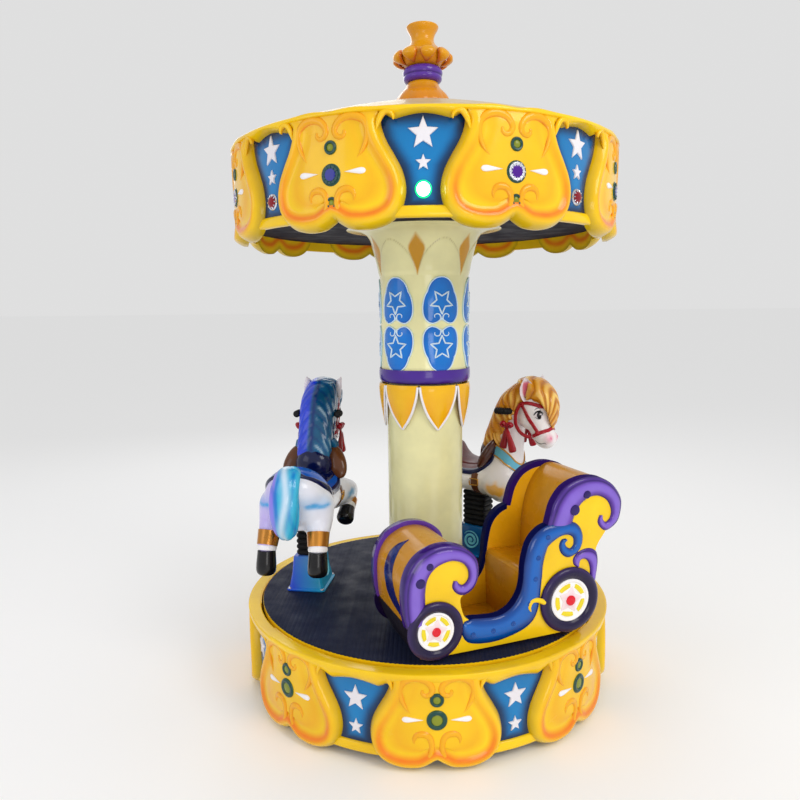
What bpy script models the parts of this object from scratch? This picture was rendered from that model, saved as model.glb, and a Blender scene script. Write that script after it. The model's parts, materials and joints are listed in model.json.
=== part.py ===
"""A three-seat kiddie carousel, in metres, +Z up, with its origin on the floor under the column.

The base is fixed. The deck, column, canopy, pedestals and car turn as one about the column's axis.
Two horses rise and fall on posts that slide in their pedestals.
"""
import math

import bmesh
import bpy
from mathutils import Matrix, Vector

# Heights of the main levels
MOULD_HEIGHT = 0.2795
BAND_BOTTOM = 0.0265
POCKET_FLOOR = 0.240
DECK_BOTTOM = 0.2655
MAT_BOTTOM = 0.2833
MAT_TOP = 0.286
CANOPY_LOBES = 1.4225
CEILING_BOTTOM = 1.480
TOTAL_HEIGHT = 2.100

# Radii of the round pieces
PLINTH_RADIUS = 0.520
HOUSING_FOOT_RADIUS = 0.530
BEARING_RADIUS = 0.205
BEARING_FLANGE_RADIUS = 0.220
BEARING_FLANGE = 0.010
DECK_RADIUS = 0.551
MAT_RADIUS = 0.550
POCKET_RADIUS = 0.5565
CEILING_RADIUS = 0.5555
TUBE_RADIUS = 0.125

# Gap between pieces that touch
GAP = 0.0003

# The eight cartouches of the moulded drums
PERIODS = 8
PERIOD = 2 * math.pi / PERIODS
CAMERA_SIDE = -math.pi / 2
BASE_PHASE = CAMERA_SIDE + math.radians(2.6)
CANOPY_PHASE = CAMERA_SIDE + PERIOD / 2

# Facets round the turned pieces
FINE = 96
MEDIUM = 36
COARSE = 24

# Seats: distance of a horse's centre from the axis, its azimuth from +X, and its heading
LEFT_SEAT = (0.396, math.radians(173.5), math.radians(83.5))
RIGHT_SEAT = (0.390, math.radians(53.5), math.radians(-36.5))

# Pedestal under each horse, in the horse's own frame: +X forward, +Y left, heights above the mat
PEDESTAL_X = -0.035
PEDESTAL_HEIGHT = 0.115
BELLY = 0.250
POST_RADIUS = 0.018
POST_BOTTOM = 0.030
GUIDE_RADIUS = 0.0185
GUIDE_BOTTOM = 0.004

# Handlebar: a bar through the neck whose grips turn back along its sides
BAR_X = 0.135
BAR_HEIGHT = 0.575
BAR_RADIUS = 0.0115
GRIP_END_X = 0.070
GRIP_SIDE = 0.075
GRIP_BEND = 0.014

# Car: a point of its outer face on the deck, its heading, and depths inward from the outer face
CAR_ORIGIN = (0.039, -0.548, MAT_TOP)
CAR_TURN = math.radians(22.9)
SIDE_OUTER = (0.015, 0.040)
SIDE_INNER = (0.250, 0.275)
WHEEL_DEPTH = 0.0175
WHEEL_LIP = 0.004
FRONT_WHEEL = (-0.011, 0.089, 0.0815)
REAR_WHEEL = (0.409, 0.109, 0.0965)


def clear_scene():
    for item in list(bpy.data.objects):
        bpy.data.objects.remove(item, do_unlink=True)


def new_collection(name):
    collection = bpy.data.collections.new(name)
    bpy.context.scene.collection.children.link(collection)
    return collection


clear_scene()
PARTS = new_collection("kiddie_carousel")
CUTTERS = new_collection("cutters")


def paint(name, colour, roughness=0.3, metallic=0.0):
    """A Principled material."""
    material = bpy.data.materials.new(name)
    material.use_nodes = True
    shader = material.node_tree.nodes["Principled BSDF"]
    shader.inputs["Base Color"].default_value = (*colour, 1.0)
    shader.inputs["Roughness"].default_value = roughness
    shader.inputs["Metallic"].default_value = metallic
    material.diffuse_color = (*colour, 1.0)
    return material


YELLOW = (0.86, 0.58, 0.03)
CREAM = (0.80, 0.76, 0.50)
PURPLE = (0.20, 0.10, 0.50)
BLACK = (0.02, 0.02, 0.025)
STEEL = (0.45, 0.46, 0.48)


def add(name, data, material, parent=None, location=(0, 0, 0), rotation=(0, 0, 0)):
    """Link one named piece, with its own material, into the part's collection."""
    item = bpy.data.objects.new(name, data)
    PARTS.objects.link(item)
    item.location = location
    item.rotation_euler = rotation
    item.parent = parent
    data.materials.append(material)
    return item


def add_empty(name, location, turn=0.0):
    empty = bpy.data.objects.new(name, None)
    PARTS.objects.link(empty)
    empty.location = location
    empty.rotation_euler = (0, 0, turn)
    return empty


def smooth_by_angle(mesh, degrees=35):
    mesh.shade_smooth()
    mesh.set_sharp_from_angle(angle=math.radians(degrees))


def turned(name, profile, material, steps=MEDIUM, **place):
    """Turn a profile of (radius, height), listed from the top down its outer side."""
    mesh = bpy.data.meshes.new(name)
    points = [(radius, 0, height) for radius, height in profile]
    edges = [(i, i + 1) for i in range(len(points) - 1)]
    mesh.from_pydata(points, edges, [])
    item = add(name, mesh, material, **place)
    screw = item.modifiers.new("Screw", "SCREW")
    screw.steps = steps
    screw.render_steps = steps
    screw.use_merge_vertices = True
    screw.merge_threshold = 0.00001
    return item


def cross_section(name, outline, depth, material, **place):
    """Extrude a closed outline of (x, y) points by depth, half each way."""
    curve = bpy.data.curves.new(name, "CURVE")
    curve.dimensions = "2D"
    curve.fill_mode = "BOTH"
    curve.extrude = depth / 2
    spline = curve.splines.new("POLY")
    spline.points.add(len(outline) - 1)
    for point, (x, y) in zip(spline.points, outline):
        point.co = (x, y, 0, 1)
    spline.use_cyclic_u = True
    return add(name, curve, material, **place)


def loft(rings):
    """A closed mesh through rings of equal length, counter-clockwise from above, lowest first."""
    mesh = bpy.data.meshes.new("loft")
    count = len(rings[0])
    points = [point for ring in rings for point in ring]
    faces = [list(reversed(range(count)))]
    for level in range(len(rings) - 1):
        for i in range(count):
            low = level * count
            after = (i + 1) % count
            faces.append((low + i, low + after, low + count + after, low + count + i))
    faces.append([(len(rings) - 1) * count + i for i in range(count)])
    mesh.from_pydata(points, [], faces)
    return mesh


def loft_tube(rings):
    """A closed band through rings of equal length, where the last ring joins the first."""
    mesh = bpy.data.meshes.new("loft_tube")
    count = len(rings[0])
    levels = len(rings)
    points = [point for ring in rings for point in ring]
    faces = []
    for level in range(levels):
        low = level * count
        high = ((level + 1) % levels) * count
        for i in range(count):
            after = (i + 1) % count
            faces.append((low + i, low + after, high + after, high + i))
    mesh.from_pydata(points, [], faces)
    return mesh


def circle(radius, height, steps=FINE, phase=0.0):
    angles = [phase + 2 * math.pi * i / steps for i in range(steps)]
    return [(radius * math.cos(a), radius * math.sin(a), height) for a in angles]


# Levels of the mould: height, radius and half angle of a cartouche, then height and radius of its panel
MOULD_LEVELS = [
    (0.000, 0.574, 11.5, 0.0265, 0.568),
    (0.010, 0.585, 14.0, 0.036, 0.575),
    (0.035, 0.594, 16.3, 0.050, 0.575),
    (0.070, 0.597, 17.6, 0.062, 0.566),
    (0.120, 0.598, 17.2, 0.120, 0.567),
    (0.185, 0.598, 14.8, 0.190, 0.570),
    (0.228, 0.596, 12.3, 0.228, 0.573),
    (0.244, 0.596, 11.8, 0.242, 0.592),
    (0.266, 0.5985, 11.8, 0.266, 0.5985),
    (MOULD_HEIGHT, 0.597, 11.8, MOULD_HEIGHT, 0.597),
]

# The notch between a cartouche's two lobes: its height at the lowest three levels, its depth, its slope
NOTCHES = [0.026, 0.0173, 0.0087]
NOTCH_DEPTH = 0.004
NOTCH_FLANK = 0.55

# How far the lowest level turns up towards the lobe's outer corner
LOBE_TURN_UP = (0.002, 0.008)
EDGE_DEPTH = 0.002
EDGE_BEFORE = 0.6
EDGE_AFTER = 0.7


def mould_ring(level, bottom, phase):
    """One ring of the moulded drum: twelve points for each cartouche and its panel."""
    height, radius, half, panel_height, panel_radius = MOULD_LEVELS[level]
    notched = level < len(NOTCHES)
    notch = NOTCHES[level] if notched else 0.0
    notch_radius = radius - NOTCH_DEPTH if notched else radius
    near_rise, far_rise = LOBE_TURN_UP if level == 0 else (0.0, 0.0)
    half_period = math.degrees(PERIOD) / 2
    half_ring = [
        (0.0, height + notch, notch_radius),
        (half * 0.24, height + notch * NOTCH_FLANK, radius),
        (half * 0.48, height, radius),
        (half * 0.74, height + near_rise, radius),
        (half - EDGE_BEFORE, height + far_rise, radius - EDGE_DEPTH),
        (half + EDGE_AFTER, panel_height, panel_radius),
        (half_period, panel_height, panel_radius),
    ]
    other_half = [(2 * half_period - angle, z, r) for angle, z, r in reversed(half_ring[1:-1])]
    ring = []
    for period in range(PERIODS):
        for angle, z, r in half_ring + other_half:
            a = phase + PERIOD * period + math.radians(angle)
            ring.append((r * math.cos(a), r * math.sin(a), bottom + z))
    return ring


def make_base():
    levels = [mould_ring(i, 0.0, BASE_PHASE) for i in range(len(MOULD_LEVELS))]
    inner_bottom = [circle(HOUSING_FOOT_RADIUS, BAND_BOTTOM, phase=BASE_PHASE)]
    pocket = [
        circle(POCKET_RADIUS, MOULD_HEIGHT, phase=BASE_PHASE),
        circle(POCKET_RADIUS, POCKET_FLOOR, phase=BASE_PHASE),
    ]
    housing = loft(inner_bottom + levels + pocket)
    smooth_by_angle(housing)
    add("base_housing", housing, paint("housing_yellow", YELLOW))
    plate_top = BAND_BOTTOM - GAP
    plate = [(0, plate_top), (PLINTH_RADIUS, plate_top), (PLINTH_RADIUS, 0), (0, 0)]
    turned("base_plate", plate, paint("plinth_black", BLACK, 0.6), FINE)
    low = POCKET_FLOOR + GAP
    high = DECK_BOTTOM - GAP
    flange = low + BEARING_FLANGE
    bearing = [
        (0, high), (BEARING_RADIUS, high), (BEARING_RADIUS, flange),
        (BEARING_FLANGE_RADIUS, flange), (BEARING_FLANGE_RADIUS, low), (0, low),
    ]
    turned("slewing_bearing", bearing, paint("bearing_steel", STEEL, 0.35, 0.9))


def make_deck(spin):
    top = MAT_BOTTOM - GAP
    deck = [(0, top), (DECK_RADIUS, top), (DECK_RADIUS, DECK_BOTTOM), (0, DECK_BOTTOM)]
    turned("deck", deck, paint("deck_yellow", YELLOW, 0.4), FINE, parent=spin)
    mat = [(0, MAT_TOP), (MAT_RADIUS, MAT_TOP), (MAT_RADIUS, MAT_BOTTOM), (0, MAT_BOTTOM)]
    turned("deck_mat", mat, paint("mat_navy", (0.02, 0.04, 0.10), 0.6), FINE, parent=spin)


# Column: heights of its pieces, and its scalloped collar of petals
PETAL_TIP = 0.843
PETAL_ROOT = 0.915
TUBE_TOP = 0.9927
RING_TOP = 1.035
NECK_TOP = 1.330
PETALS = 7
PETAL_PHASE = CAMERA_SIDE + math.radians(18.5)
PETAL_STEPS = 42
PETAL_LIP = 0.131
PETAL_CROWN = 0.146
PETAL_BULGE = 0.149

# Profiles of the column above its tube, as (radius, height) from the top down
RING_PROFILE = [(0.140, RING_TOP), (0.147, 1.028), (0.150, 1.014), (0.147, 1.001), (0.140, TUBE_TOP + GAP)]
NECK_PROFILE = [(0.1445, NECK_TOP), (0.143, 1.305), (0.1428, 1.250), (0.1425, RING_TOP + GAP)]
BELL_PROFILE = [
    (0.249, CEILING_BOTTOM - GAP), (0.230, 1.4785), (0.206, 1.4745), (0.188, 1.466), (0.178, 1.455),
    (0.169, 1.436), (0.1625, 1.415), (0.1565, 1.393), (0.151, 1.370), (0.147, 1.348),
    (0.1445, NECK_TOP + GAP),
]


def solid_profile(profile):
    """Close a profile of (radius, height) to the axis at its top and bottom."""
    return [(0, profile[0][1])] + profile + [(0, profile[-1][1])]


def petal_edge(angle):
    """Height of the petals' scalloped lower edge, whose points hang down."""
    turn = (angle - PETAL_PHASE) * PETALS / (2 * math.pi)
    away = abs(turn - round(turn)) * 2
    return PETAL_TIP + (PETAL_ROOT - PETAL_TIP) * away ** 0.8


def make_petals(spin):
    angles = [PETAL_PHASE + 2 * math.pi * i / PETAL_STEPS for i in range(PETAL_STEPS)]

    def ring(radius, height_at):
        return [(radius * math.cos(a), radius * math.sin(a), height_at(a)) for a in angles]

    bore = TUBE_RADIUS + GAP
    petals = loft_tube([
        ring(bore, lambda a: TUBE_TOP),
        ring(bore, petal_edge),
        ring(PETAL_LIP, petal_edge),
        ring(PETAL_CROWN, lambda a: petal_edge(a) + 0.030),
        ring(PETAL_BULGE, lambda a: TUBE_TOP - 0.020),
        ring(PETAL_CROWN, lambda a: TUBE_TOP),
    ])
    smooth_by_angle(petals)
    add("column_petals", petals, paint("petal_yellow", YELLOW), parent=spin)


def make_column(spin):
    tube = [(TUBE_RADIUS, TUBE_TOP), (TUBE_RADIUS, MAT_TOP + GAP)]
    make_petals(spin)
    pieces = [
        ("column_tube", tube, "tube_cream", CREAM, PETAL_STEPS),
        ("column_ring", RING_PROFILE, "ring_purple", PURPLE, MEDIUM),
        ("column_neck", NECK_PROFILE, "neck_cream", CREAM, MEDIUM),
        ("column_bell", BELL_PROFILE, "bell_cream", CREAM, MEDIUM),
    ]
    for name, profile, finish, colour, steps in pieces:
        turned(name, solid_profile(profile), paint(finish, colour), steps, parent=spin,
               rotation=(0, 0, PETAL_PHASE))


# Canopy
CEILING_THICKNESS = 0.010
DOME_BOTTOM = CANOPY_LOBES + MOULD_HEIGHT + GAP
DOME_PROFILE = [
    (0.088, 1.8470), (0.120, 1.8420), (0.170, 1.8300), (0.250, 1.8070), (0.330, 1.7825),
    (0.400, 1.7620), (0.490, 1.7345), (0.560, 1.7130), (0.585, 1.7063), (0.585, DOME_BOTTOM),
]
DOME_TOP = DOME_PROFILE[0][1]
LAMP_HEIGHT = 0.092
LAMP_PROFILE = [(0.010, 0.0126), (0.018, 0.0077), (0.022, 0)]
LAMP_DEPTH = 0.014
LAMP_SEAT = 0.5671
LAMP_FACETS = 12


def make_canopy(spin):
    top = CEILING_BOTTOM + CEILING_THICKNESS
    ceiling = [(CEILING_RADIUS, top), (CEILING_RADIUS, CEILING_BOTTOM)]
    turned("canopy_ceiling", solid_profile(ceiling), paint("ceiling_dark", (0.03, 0.02, 0.04), 0.5), FINE,
           parent=spin, rotation=(0, 0, CANOPY_PHASE))
    levels = [mould_ring(i, CANOPY_LOBES, CANOPY_PHASE) for i in range(len(MOULD_LEVELS))]
    inner = CEILING_RADIUS + GAP
    inner_top = circle(inner, CANOPY_LOBES + MOULD_HEIGHT, phase=CANOPY_PHASE)
    even = circle(inner, 0.0, phase=CANOPY_PHASE)
    inner_bottom = [(x, y, lobe[2]) for (x, y, _), lobe in zip(even, levels[0])]
    skirt = loft_tube([inner_bottom] + levels + [inner_top])
    smooth_by_angle(skirt)
    add("canopy_skirt", skirt, paint("skirt_yellow", YELLOW), parent=spin)
    turned("canopy_dome", solid_profile(DOME_PROFILE), paint("dome_cream", CREAM), parent=spin)

    for number in range(PERIODS):
        azimuth = CAMERA_SIDE + PERIOD * number
        frame = add_empty(f"lamp_frame_{number + 1}", (0, 0, CANOPY_LOBES + LAMP_HEIGHT), azimuth)
        frame.parent = spin
        lens = [(0, LAMP_DEPTH)] + LAMP_PROFILE + [(0, 0)]
        red = paint(f"lamp_{number + 1}", (0.5, 0.01, 0.02), 0.1)
        turned(f"canopy_lamp_{number + 1}", lens, red, LAMP_FACETS, parent=frame,
               location=(LAMP_SEAT, 0, 0), rotation=(0, math.pi / 2, 0))


# Finial, as (radius, height) from the top down
CUP_BOTTOM = 1.977 + GAP
RING_BOTTOM = 1.931 + GAP
FINIAL_CUP = [
    (0.040, TOTAL_HEIGHT), (0.0435, 2.096), (0.035, 2.074), (0.032, 2.052), (0.040, 2.034),
    (0.070, 2.024), (0.084, 2.012), (0.089, 1.994), (0.074, 1.982), (0.045, CUP_BOTTOM),
]
FINIAL_RING = [(0.044, 1.977), (0.057, 1.970), (0.062, 1.954), (0.057, 1.939), (0.044, RING_BOTTOM)]
FINIAL_FOOT = [
    (0.046, 1.931), (0.050, 1.920), (0.062, 1.905), (0.077, 1.893), (0.086, 1.872), (0.088, DOME_TOP + GAP),
]


def make_finial(spin):
    gold = (0.62, 0.30, 0.06)
    for name, profile, finish, colour in (
        ("finial_foot", FINIAL_FOOT, "foot_gold", gold),
        ("finial_ring", FINIAL_RING, "finial_purple", PURPLE),
        ("finial_cup", FINIAL_CUP, "cup_gold", gold),
    ):
        turned(name, solid_profile(profile), paint(finish, colour), COARSE, parent=spin)


def ball(shape, centre, radii, segments=16):
    """Add an ellipsoid to a bmesh."""
    matrix = Matrix.Translation(centre) @ Matrix.Diagonal((*radii, 1.0))
    bmesh.ops.create_uvsphere(shape, u_segments=segments, v_segments=segments // 2, radius=1.0, matrix=matrix)


def limb(shape, start, end, start_radius, end_radius, segments=12):
    """Add a tapered limb with round ends to a bmesh."""
    start = Vector(start)
    end = Vector(end)
    along = end - start
    turn = along.to_track_quat("Z", "Y").to_matrix().to_4x4()
    matrix = Matrix.Translation((start + end) / 2) @ turn
    bmesh.ops.create_cone(shape, cap_ends=True, segments=segments, radius1=start_radius,
                          radius2=end_radius, depth=along.length, matrix=matrix)
    ball(shape, start, (start_radius,) * 3, segments)
    ball(shape, end, (end_radius,) * 3, segments)


def limb_chain(shape, joints, side):
    """Add limbs through a list of (x, distance to the side, height, radius)."""
    placed = [(x, side * away, height, radius) for x, away, height, radius in joints]
    for first, second in zip(placed, placed[1:]):
        limb(shape, first[:3], second[:3], first[3], second[3])


def add_body(shape, stations, steps=16):
    """Add a closed body through sections of (x, height, half width, half depth) in the middle plane."""
    rings = []
    for index, (x, height, half_width, half_depth) in enumerate(stations):
        before = stations[max(index - 1, 0)]
        after = stations[min(index + 1, len(stations) - 1)]
        along = Vector((after[0] - before[0], 0, after[1] - before[1])).normalized()
        normal = Vector((-along.z, 0, along.x))
        ring = []
        for step in range(steps):
            a = 2 * math.pi * step / steps
            across = Vector((0, half_width * math.cos(a), 0))
            out = normal * (half_depth * math.sin(a))
            ring.append(shape.verts.new(Vector((x, 0, height)) + across + out))
        rings.append(ring)
    for low, high in zip(rings, rings[1:]):
        for step in range(steps):
            after = (step + 1) % steps
            shape.faces.new((low[step], low[after], high[after], high[step]))
    shape.faces.new(rings[0])
    shape.faces.new(rings[-1])


# Sections of the horse, as (x, height, half width, half depth)
TORSO = [
    (-0.264, 0.342, 0.030, 0.035), (-0.252, 0.345, 0.066, 0.070), (-0.222, 0.347, 0.094, 0.094),
    (-0.180, 0.338, 0.106, 0.102), (-0.140, 0.326, 0.110, 0.092), (-0.100, 0.314, 0.110, 0.072),
    (-0.050, 0.306, 0.108, 0.057), (0.000, 0.308, 0.105, 0.063), (0.045, 0.314, 0.099, 0.080),
    (0.090, 0.320, 0.091, 0.096), (0.128, 0.327, 0.076, 0.090), (0.150, 0.330, 0.050, 0.062),
    (0.160, 0.332, 0.020, 0.030),
]
NECK = [
    (0.074, 0.330, 0.080, 0.080), (0.080, 0.380, 0.072, 0.074), (0.090, 0.430, 0.063, 0.065),
    (0.100, 0.480, 0.056, 0.057), (0.112, 0.530, 0.052, 0.053), (0.130, 0.580, 0.050, 0.052),
    (0.150, 0.625, 0.046, 0.046), (0.165, 0.650, 0.036, 0.030),
]
HEAD = [
    (0.150, 0.632, 0.028, 0.028), (0.164, 0.624, 0.044, 0.048), (0.188, 0.606, 0.053, 0.060),
    (0.208, 0.575, 0.055, 0.057), (0.221, 0.541, 0.049, 0.048), (0.233, 0.508, 0.043, 0.041),
    (0.244, 0.484, 0.042, 0.038), (0.252, 0.466, 0.038, 0.034), (0.257, 0.452, 0.028, 0.024),
    (0.260, 0.443, 0.012, 0.010),
]
MANE = [
    (0.165, 0.672, 0.040, 0.026), (0.140, 0.648, 0.048, 0.028), (0.118, 0.622, 0.052, 0.034),
    (0.096, 0.560, 0.055, 0.038), (0.080, 0.516, 0.056, 0.038), (0.066, 0.478, 0.055, 0.036),
    (0.055, 0.438, 0.050, 0.030), (0.045, 0.418, 0.036, 0.022),
]
FORELOCK = [
    (0.150, 0.668, 0.040, 0.020), (0.176, 0.668, 0.055, 0.026), (0.206, 0.660, 0.060, 0.030),
    (0.236, 0.644, 0.060, 0.030), (0.256, 0.618, 0.056, 0.024), (0.268, 0.592, 0.046, 0.018),
    (0.274, 0.570, 0.032, 0.013), (0.275, 0.555, 0.018, 0.010),
]
TAIL = [
    (-0.215, 0.430, 0.024, 0.018), (-0.240, 0.438, 0.034, 0.024), (-0.265, 0.420, 0.042, 0.028),
    (-0.283, 0.378, 0.047, 0.030), (-0.288, 0.325, 0.047, 0.029), (-0.281, 0.282, 0.042, 0.027),
    (-0.272, 0.252, 0.030, 0.022), (-0.267, 0.238, 0.014, 0.012),
]

# Legs, as (x, distance to the side, height, radius)
HIND_LEG = [
    (-0.180, 0.064, 0.320, 0.060), (-0.196, 0.072, 0.275, 0.050), (-0.222, 0.080, 0.238, 0.036),
    (-0.240, 0.083, 0.206, 0.031), (-0.247, 0.0835, 0.180, 0.029), (-0.256, 0.084, 0.140, 0.031),
]
BENT_LEG = [
    (0.085, 0.058, 0.300, 0.056), (0.140, 0.078, 0.288, 0.046), (0.190, 0.086, 0.276, 0.036),
    (0.176, 0.089, 0.246, 0.029), (0.150, 0.090, 0.222, 0.027), (0.110, 0.090, 0.190, 0.030),
]
REACHING_LEG = [
    (0.085, 0.058, 0.300, 0.056), (0.145, 0.074, 0.290, 0.046), (0.196, 0.080, 0.266, 0.035),
    (0.214, 0.082, 0.232, 0.028), (0.219, 0.082, 0.205, 0.027), (0.226, 0.082, 0.165, 0.031),
]


def horse_forms():
    """Every form of the moulded horse in one bmesh, before they are fused."""
    shape = bmesh.new()
    for stations in (TORSO, NECK, HEAD, MANE, FORELOCK, TAIL):
        add_body(shape, stations)
    ball(shape, (0.034, 0, 0.405), (0.044, 0.064, 0.062))
    for side in (-1, 1):
        limb(shape, (0.190, side * 0.038, 0.625), (0.188, side * 0.058, 0.698), 0.022, 0.009, 8)
        ball(shape, (0.192, side * 0.020, 0.550), (0.040, 0.036, 0.042))
        ball(shape, (-0.172, side * 0.058, 0.312), (0.078, 0.058, 0.088))
        ball(shape, (0.098, side * 0.052, 0.290), (0.052, 0.046, 0.060))
        limb_chain(shape, HIND_LEG, side)
    limb_chain(shape, BENT_LEG, -1)
    limb_chain(shape, REACHING_LEG, 1)
    bmesh.ops.recalc_face_normals(shape, faces=shape.faces)
    return shape


# Cell size of the fused horse, the share of its faces that stay, and the pocket over the bellows
VOXEL = 0.008
HORSE_DETAIL = 0.065
BELLY_POCKET = (0.150, 0.150, 0.060)
BORE_LENGTH = 0.130


def cutter_cylinder(name, radius, depth, location, rotation=(0, 0, 0), steps=16):
    mesh = bpy.data.meshes.new(name)
    shape = bmesh.new()
    bmesh.ops.create_cone(shape, cap_ends=True, segments=steps, radius1=radius, radius2=radius, depth=depth)
    shape.to_mesh(mesh)
    shape.free()
    return as_cutter(name, mesh, location, rotation)


def cutter_box(name, size, location):
    mesh = bpy.data.meshes.new(name)
    shape = bmesh.new()
    bmesh.ops.create_cube(shape, size=1.0, matrix=Matrix.Diagonal((*size, 1.0)))
    shape.to_mesh(mesh)
    shape.free()
    return as_cutter(name, mesh, location, (0, 0, 0))


def as_cutter(name, mesh, location, rotation):
    cutter = bpy.data.objects.new(name, mesh)
    CUTTERS.objects.link(cutter)
    cutter.location = location
    cutter.rotation_euler = rotation
    cutter.hide_render = True
    cutter.display_type = "WIRE"
    return cutter


def cut(item, cutter):
    modifier = item.modifiers.new("Cut " + cutter.name, "BOOLEAN")
    modifier.operation = "DIFFERENCE"
    modifier.solver = "EXACT"
    modifier.object = cutter


def finished_mesh(item, name):
    """The mesh that an object's modifiers make."""
    bpy.context.view_layer.update()
    graph = bpy.context.evaluated_depsgraph_get()
    mesh = bpy.data.meshes.new_from_object(item.evaluated_get(graph))
    mesh.name = name
    return mesh


def make_horse_mesh():
    """Fuse the horse's forms, cut its belly flat and bore it for the handlebar."""
    forms = bpy.data.meshes.new("horse_forms")
    shape = horse_forms()
    shape.to_mesh(forms)
    shape.free()
    block = bpy.data.objects.new("horse_block", forms)
    CUTTERS.objects.link(block)
    fuse = block.modifiers.new("Fuse", "REMESH")
    fuse.mode = "VOXEL"
    fuse.voxel_size = VOXEL
    soften = block.modifiers.new("Soften", "SMOOTH")
    soften.factor = 0.5
    soften.iterations = 3
    thin = block.modifiers.new("Thin", "DECIMATE")
    thin.ratio = HORSE_DETAIL
    cut(block, cutter_box("belly_cutter", BELLY_POCKET, (PEDESTAL_X, 0, BELLY - BELLY_POCKET[2] / 2)))
    cut(block, cutter_cylinder("bar_cutter", BAR_RADIUS + GAP, BORE_LENGTH, (BAR_X, 0, BAR_HEIGHT),
                               (math.pi / 2, 0, 0), BAR_SIDES))
    mesh = finished_mesh(block, "horse_body")
    bpy.data.objects.remove(block, do_unlink=True)
    mesh.shade_smooth()
    return mesh


CORNER_STEPS = 2


def rectangle(x_half, y_half, height, corner):
    """A rectangle with rounded corners about the pedestal's axis, counter-clockwise."""
    points = []
    for quarter in range(4):
        start = quarter * math.pi / 2
        sign_x = 1 if quarter in (0, 3) else -1
        sign_y = 1 if quarter in (0, 1) else -1
        for step in range(CORNER_STEPS + 1):
            a = start + math.pi / 2 * step / CORNER_STEPS
            points.append((
                PEDESTAL_X + sign_x * (x_half - corner) + corner * math.cos(a),
                sign_y * (y_half - corner) + corner * math.sin(a),
                height,
            ))
    return points


# Pedestal, as (half length, half width, height, corner radius) from the foot up
PEDESTAL_LEVELS = [
    (0.080, 0.066, GAP, 0.012), (0.080, 0.066, 0.006, 0.012), (0.072, 0.058, 0.010, 0.012),
    (0.064, 0.050, 0.060, 0.010), (0.060, 0.046, PEDESTAL_HEIGHT, 0.010),
]
PLEATS = 7
PLEAT_DEPTH = 0.007
BELLOWS_OUTER = (0.044, 0.032, 0.008)
BELLOWS_INNER = (0.040, 0.028, 0.006)
BAR_SIDES = 12
BEND_STEPS = 4


def bellows_ring(size, pleat, height):
    half_length, half_width, corner = size
    return rectangle(half_length + pleat, half_width + pleat, height, corner)


def bar_path():
    """The handlebar's centre line, from the left grip's end round to the right grip's end."""
    straight = GRIP_SIDE - GRIP_BEND
    left = [(GRIP_END_X, GRIP_SIDE)]
    for step in range(BEND_STEPS + 1):
        a = math.pi / 2 * (1 - step / BEND_STEPS)
        left.append((BAR_X - GRIP_BEND + GRIP_BEND * math.cos(a), straight + GRIP_BEND * math.sin(a)))
    return left + [(x, -y) for x, y in reversed(left)]


def handlebar_mesh():
    """A round bar swept along its level centre line."""
    path = bar_path()
    rings = []
    for index, (x, y) in enumerate(path):
        before = path[max(index - 1, 0)]
        after = path[min(index + 1, len(path) - 1)]
        along = Vector((after[0] - before[0], after[1] - before[1], 0)).normalized()
        across = Vector((-along.y, along.x, 0))
        ring = []
        for side in range(BAR_SIDES):
            a = 2 * math.pi * side / BAR_SIDES
            ring.append(Vector((x, y, BAR_HEIGHT)) + across * (BAR_RADIUS * math.cos(a))
                        + Vector((0, 0, BAR_RADIUS * math.sin(a))))
        rings.append(ring)
    mesh = loft(rings)
    smooth_by_angle(mesh)
    return mesh


def make_seat_on_post(side, seat, spin, horse_mesh, coat):
    """A pedestal, bellows, post, handlebar and horse at one seat."""
    distance, azimuth, heading = seat
    place = (distance * math.cos(azimuth), distance * math.sin(azimuth), MAT_TOP)
    frame = add_empty(f"{side}_seat", place, heading)
    frame.parent = spin
    rings = [rectangle(*level) for level in PEDESTAL_LEVELS]
    pedestal = add(f"{side}_pedestal", loft(rings), paint(f"{side}_pedestal_blue", (0.25, 0.55, 0.85)), frame)
    guide = cutter_cylinder(f"{side}_guide_cutter", GUIDE_RADIUS, 2 * PEDESTAL_HEIGHT,
                            (PEDESTAL_X, 0, GUIDE_BOTTOM + PEDESTAL_HEIGHT), steps=COARSE)
    guide.parent = frame
    cut(pedestal, guide)

    low = PEDESTAL_HEIGHT + GAP
    high = BELLY - GAP
    outer = []
    inner = []
    for step in range(2 * PLEATS + 1):
        height = low + (high - low) * step / (2 * PLEATS)
        pleat = PLEAT_DEPTH if step % 2 else 0.0
        outer.append(bellows_ring(BELLOWS_OUTER, pleat, height))
        inner.append(bellows_ring(BELLOWS_INNER, pleat, height))
    bellows = loft_tube(outer + list(reversed(inner)))
    add(f"{side}_bellows", bellows, paint(f"{side}_bellows_rubber", BLACK, 0.55), frame)

    lift = add_empty(f"{side}_lift", (0, 0, 0))
    lift.parent = frame
    post = [(POST_RADIUS, BELLY - GAP), (POST_RADIUS, POST_BOTTOM)]
    turned(f"{side}_lift_post", solid_profile(post), paint(f"{side}_post_steel", STEEL, 0.3, 0.9), COARSE,
           parent=lift, location=(PEDESTAL_X, 0, 0))
    add(f"{side}_handlebar", handlebar_mesh(), paint(f"{side}_grip_black", BLACK, 0.5), lift)
    add(f"{side}_horse_body", horse_mesh.copy(), paint(f"{side}_coat", coat), lift)


def arc(centre, radii, start, end, steps):
    """Points along an elliptic arc, angles in degrees."""
    points = []
    for i in range(steps + 1):
        a = math.radians(start + (end - start) * i / steps)
        points.append((centre[0] + radii[0] * math.cos(a), centre[1] + radii[1] * math.sin(a)))
    return points


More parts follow.
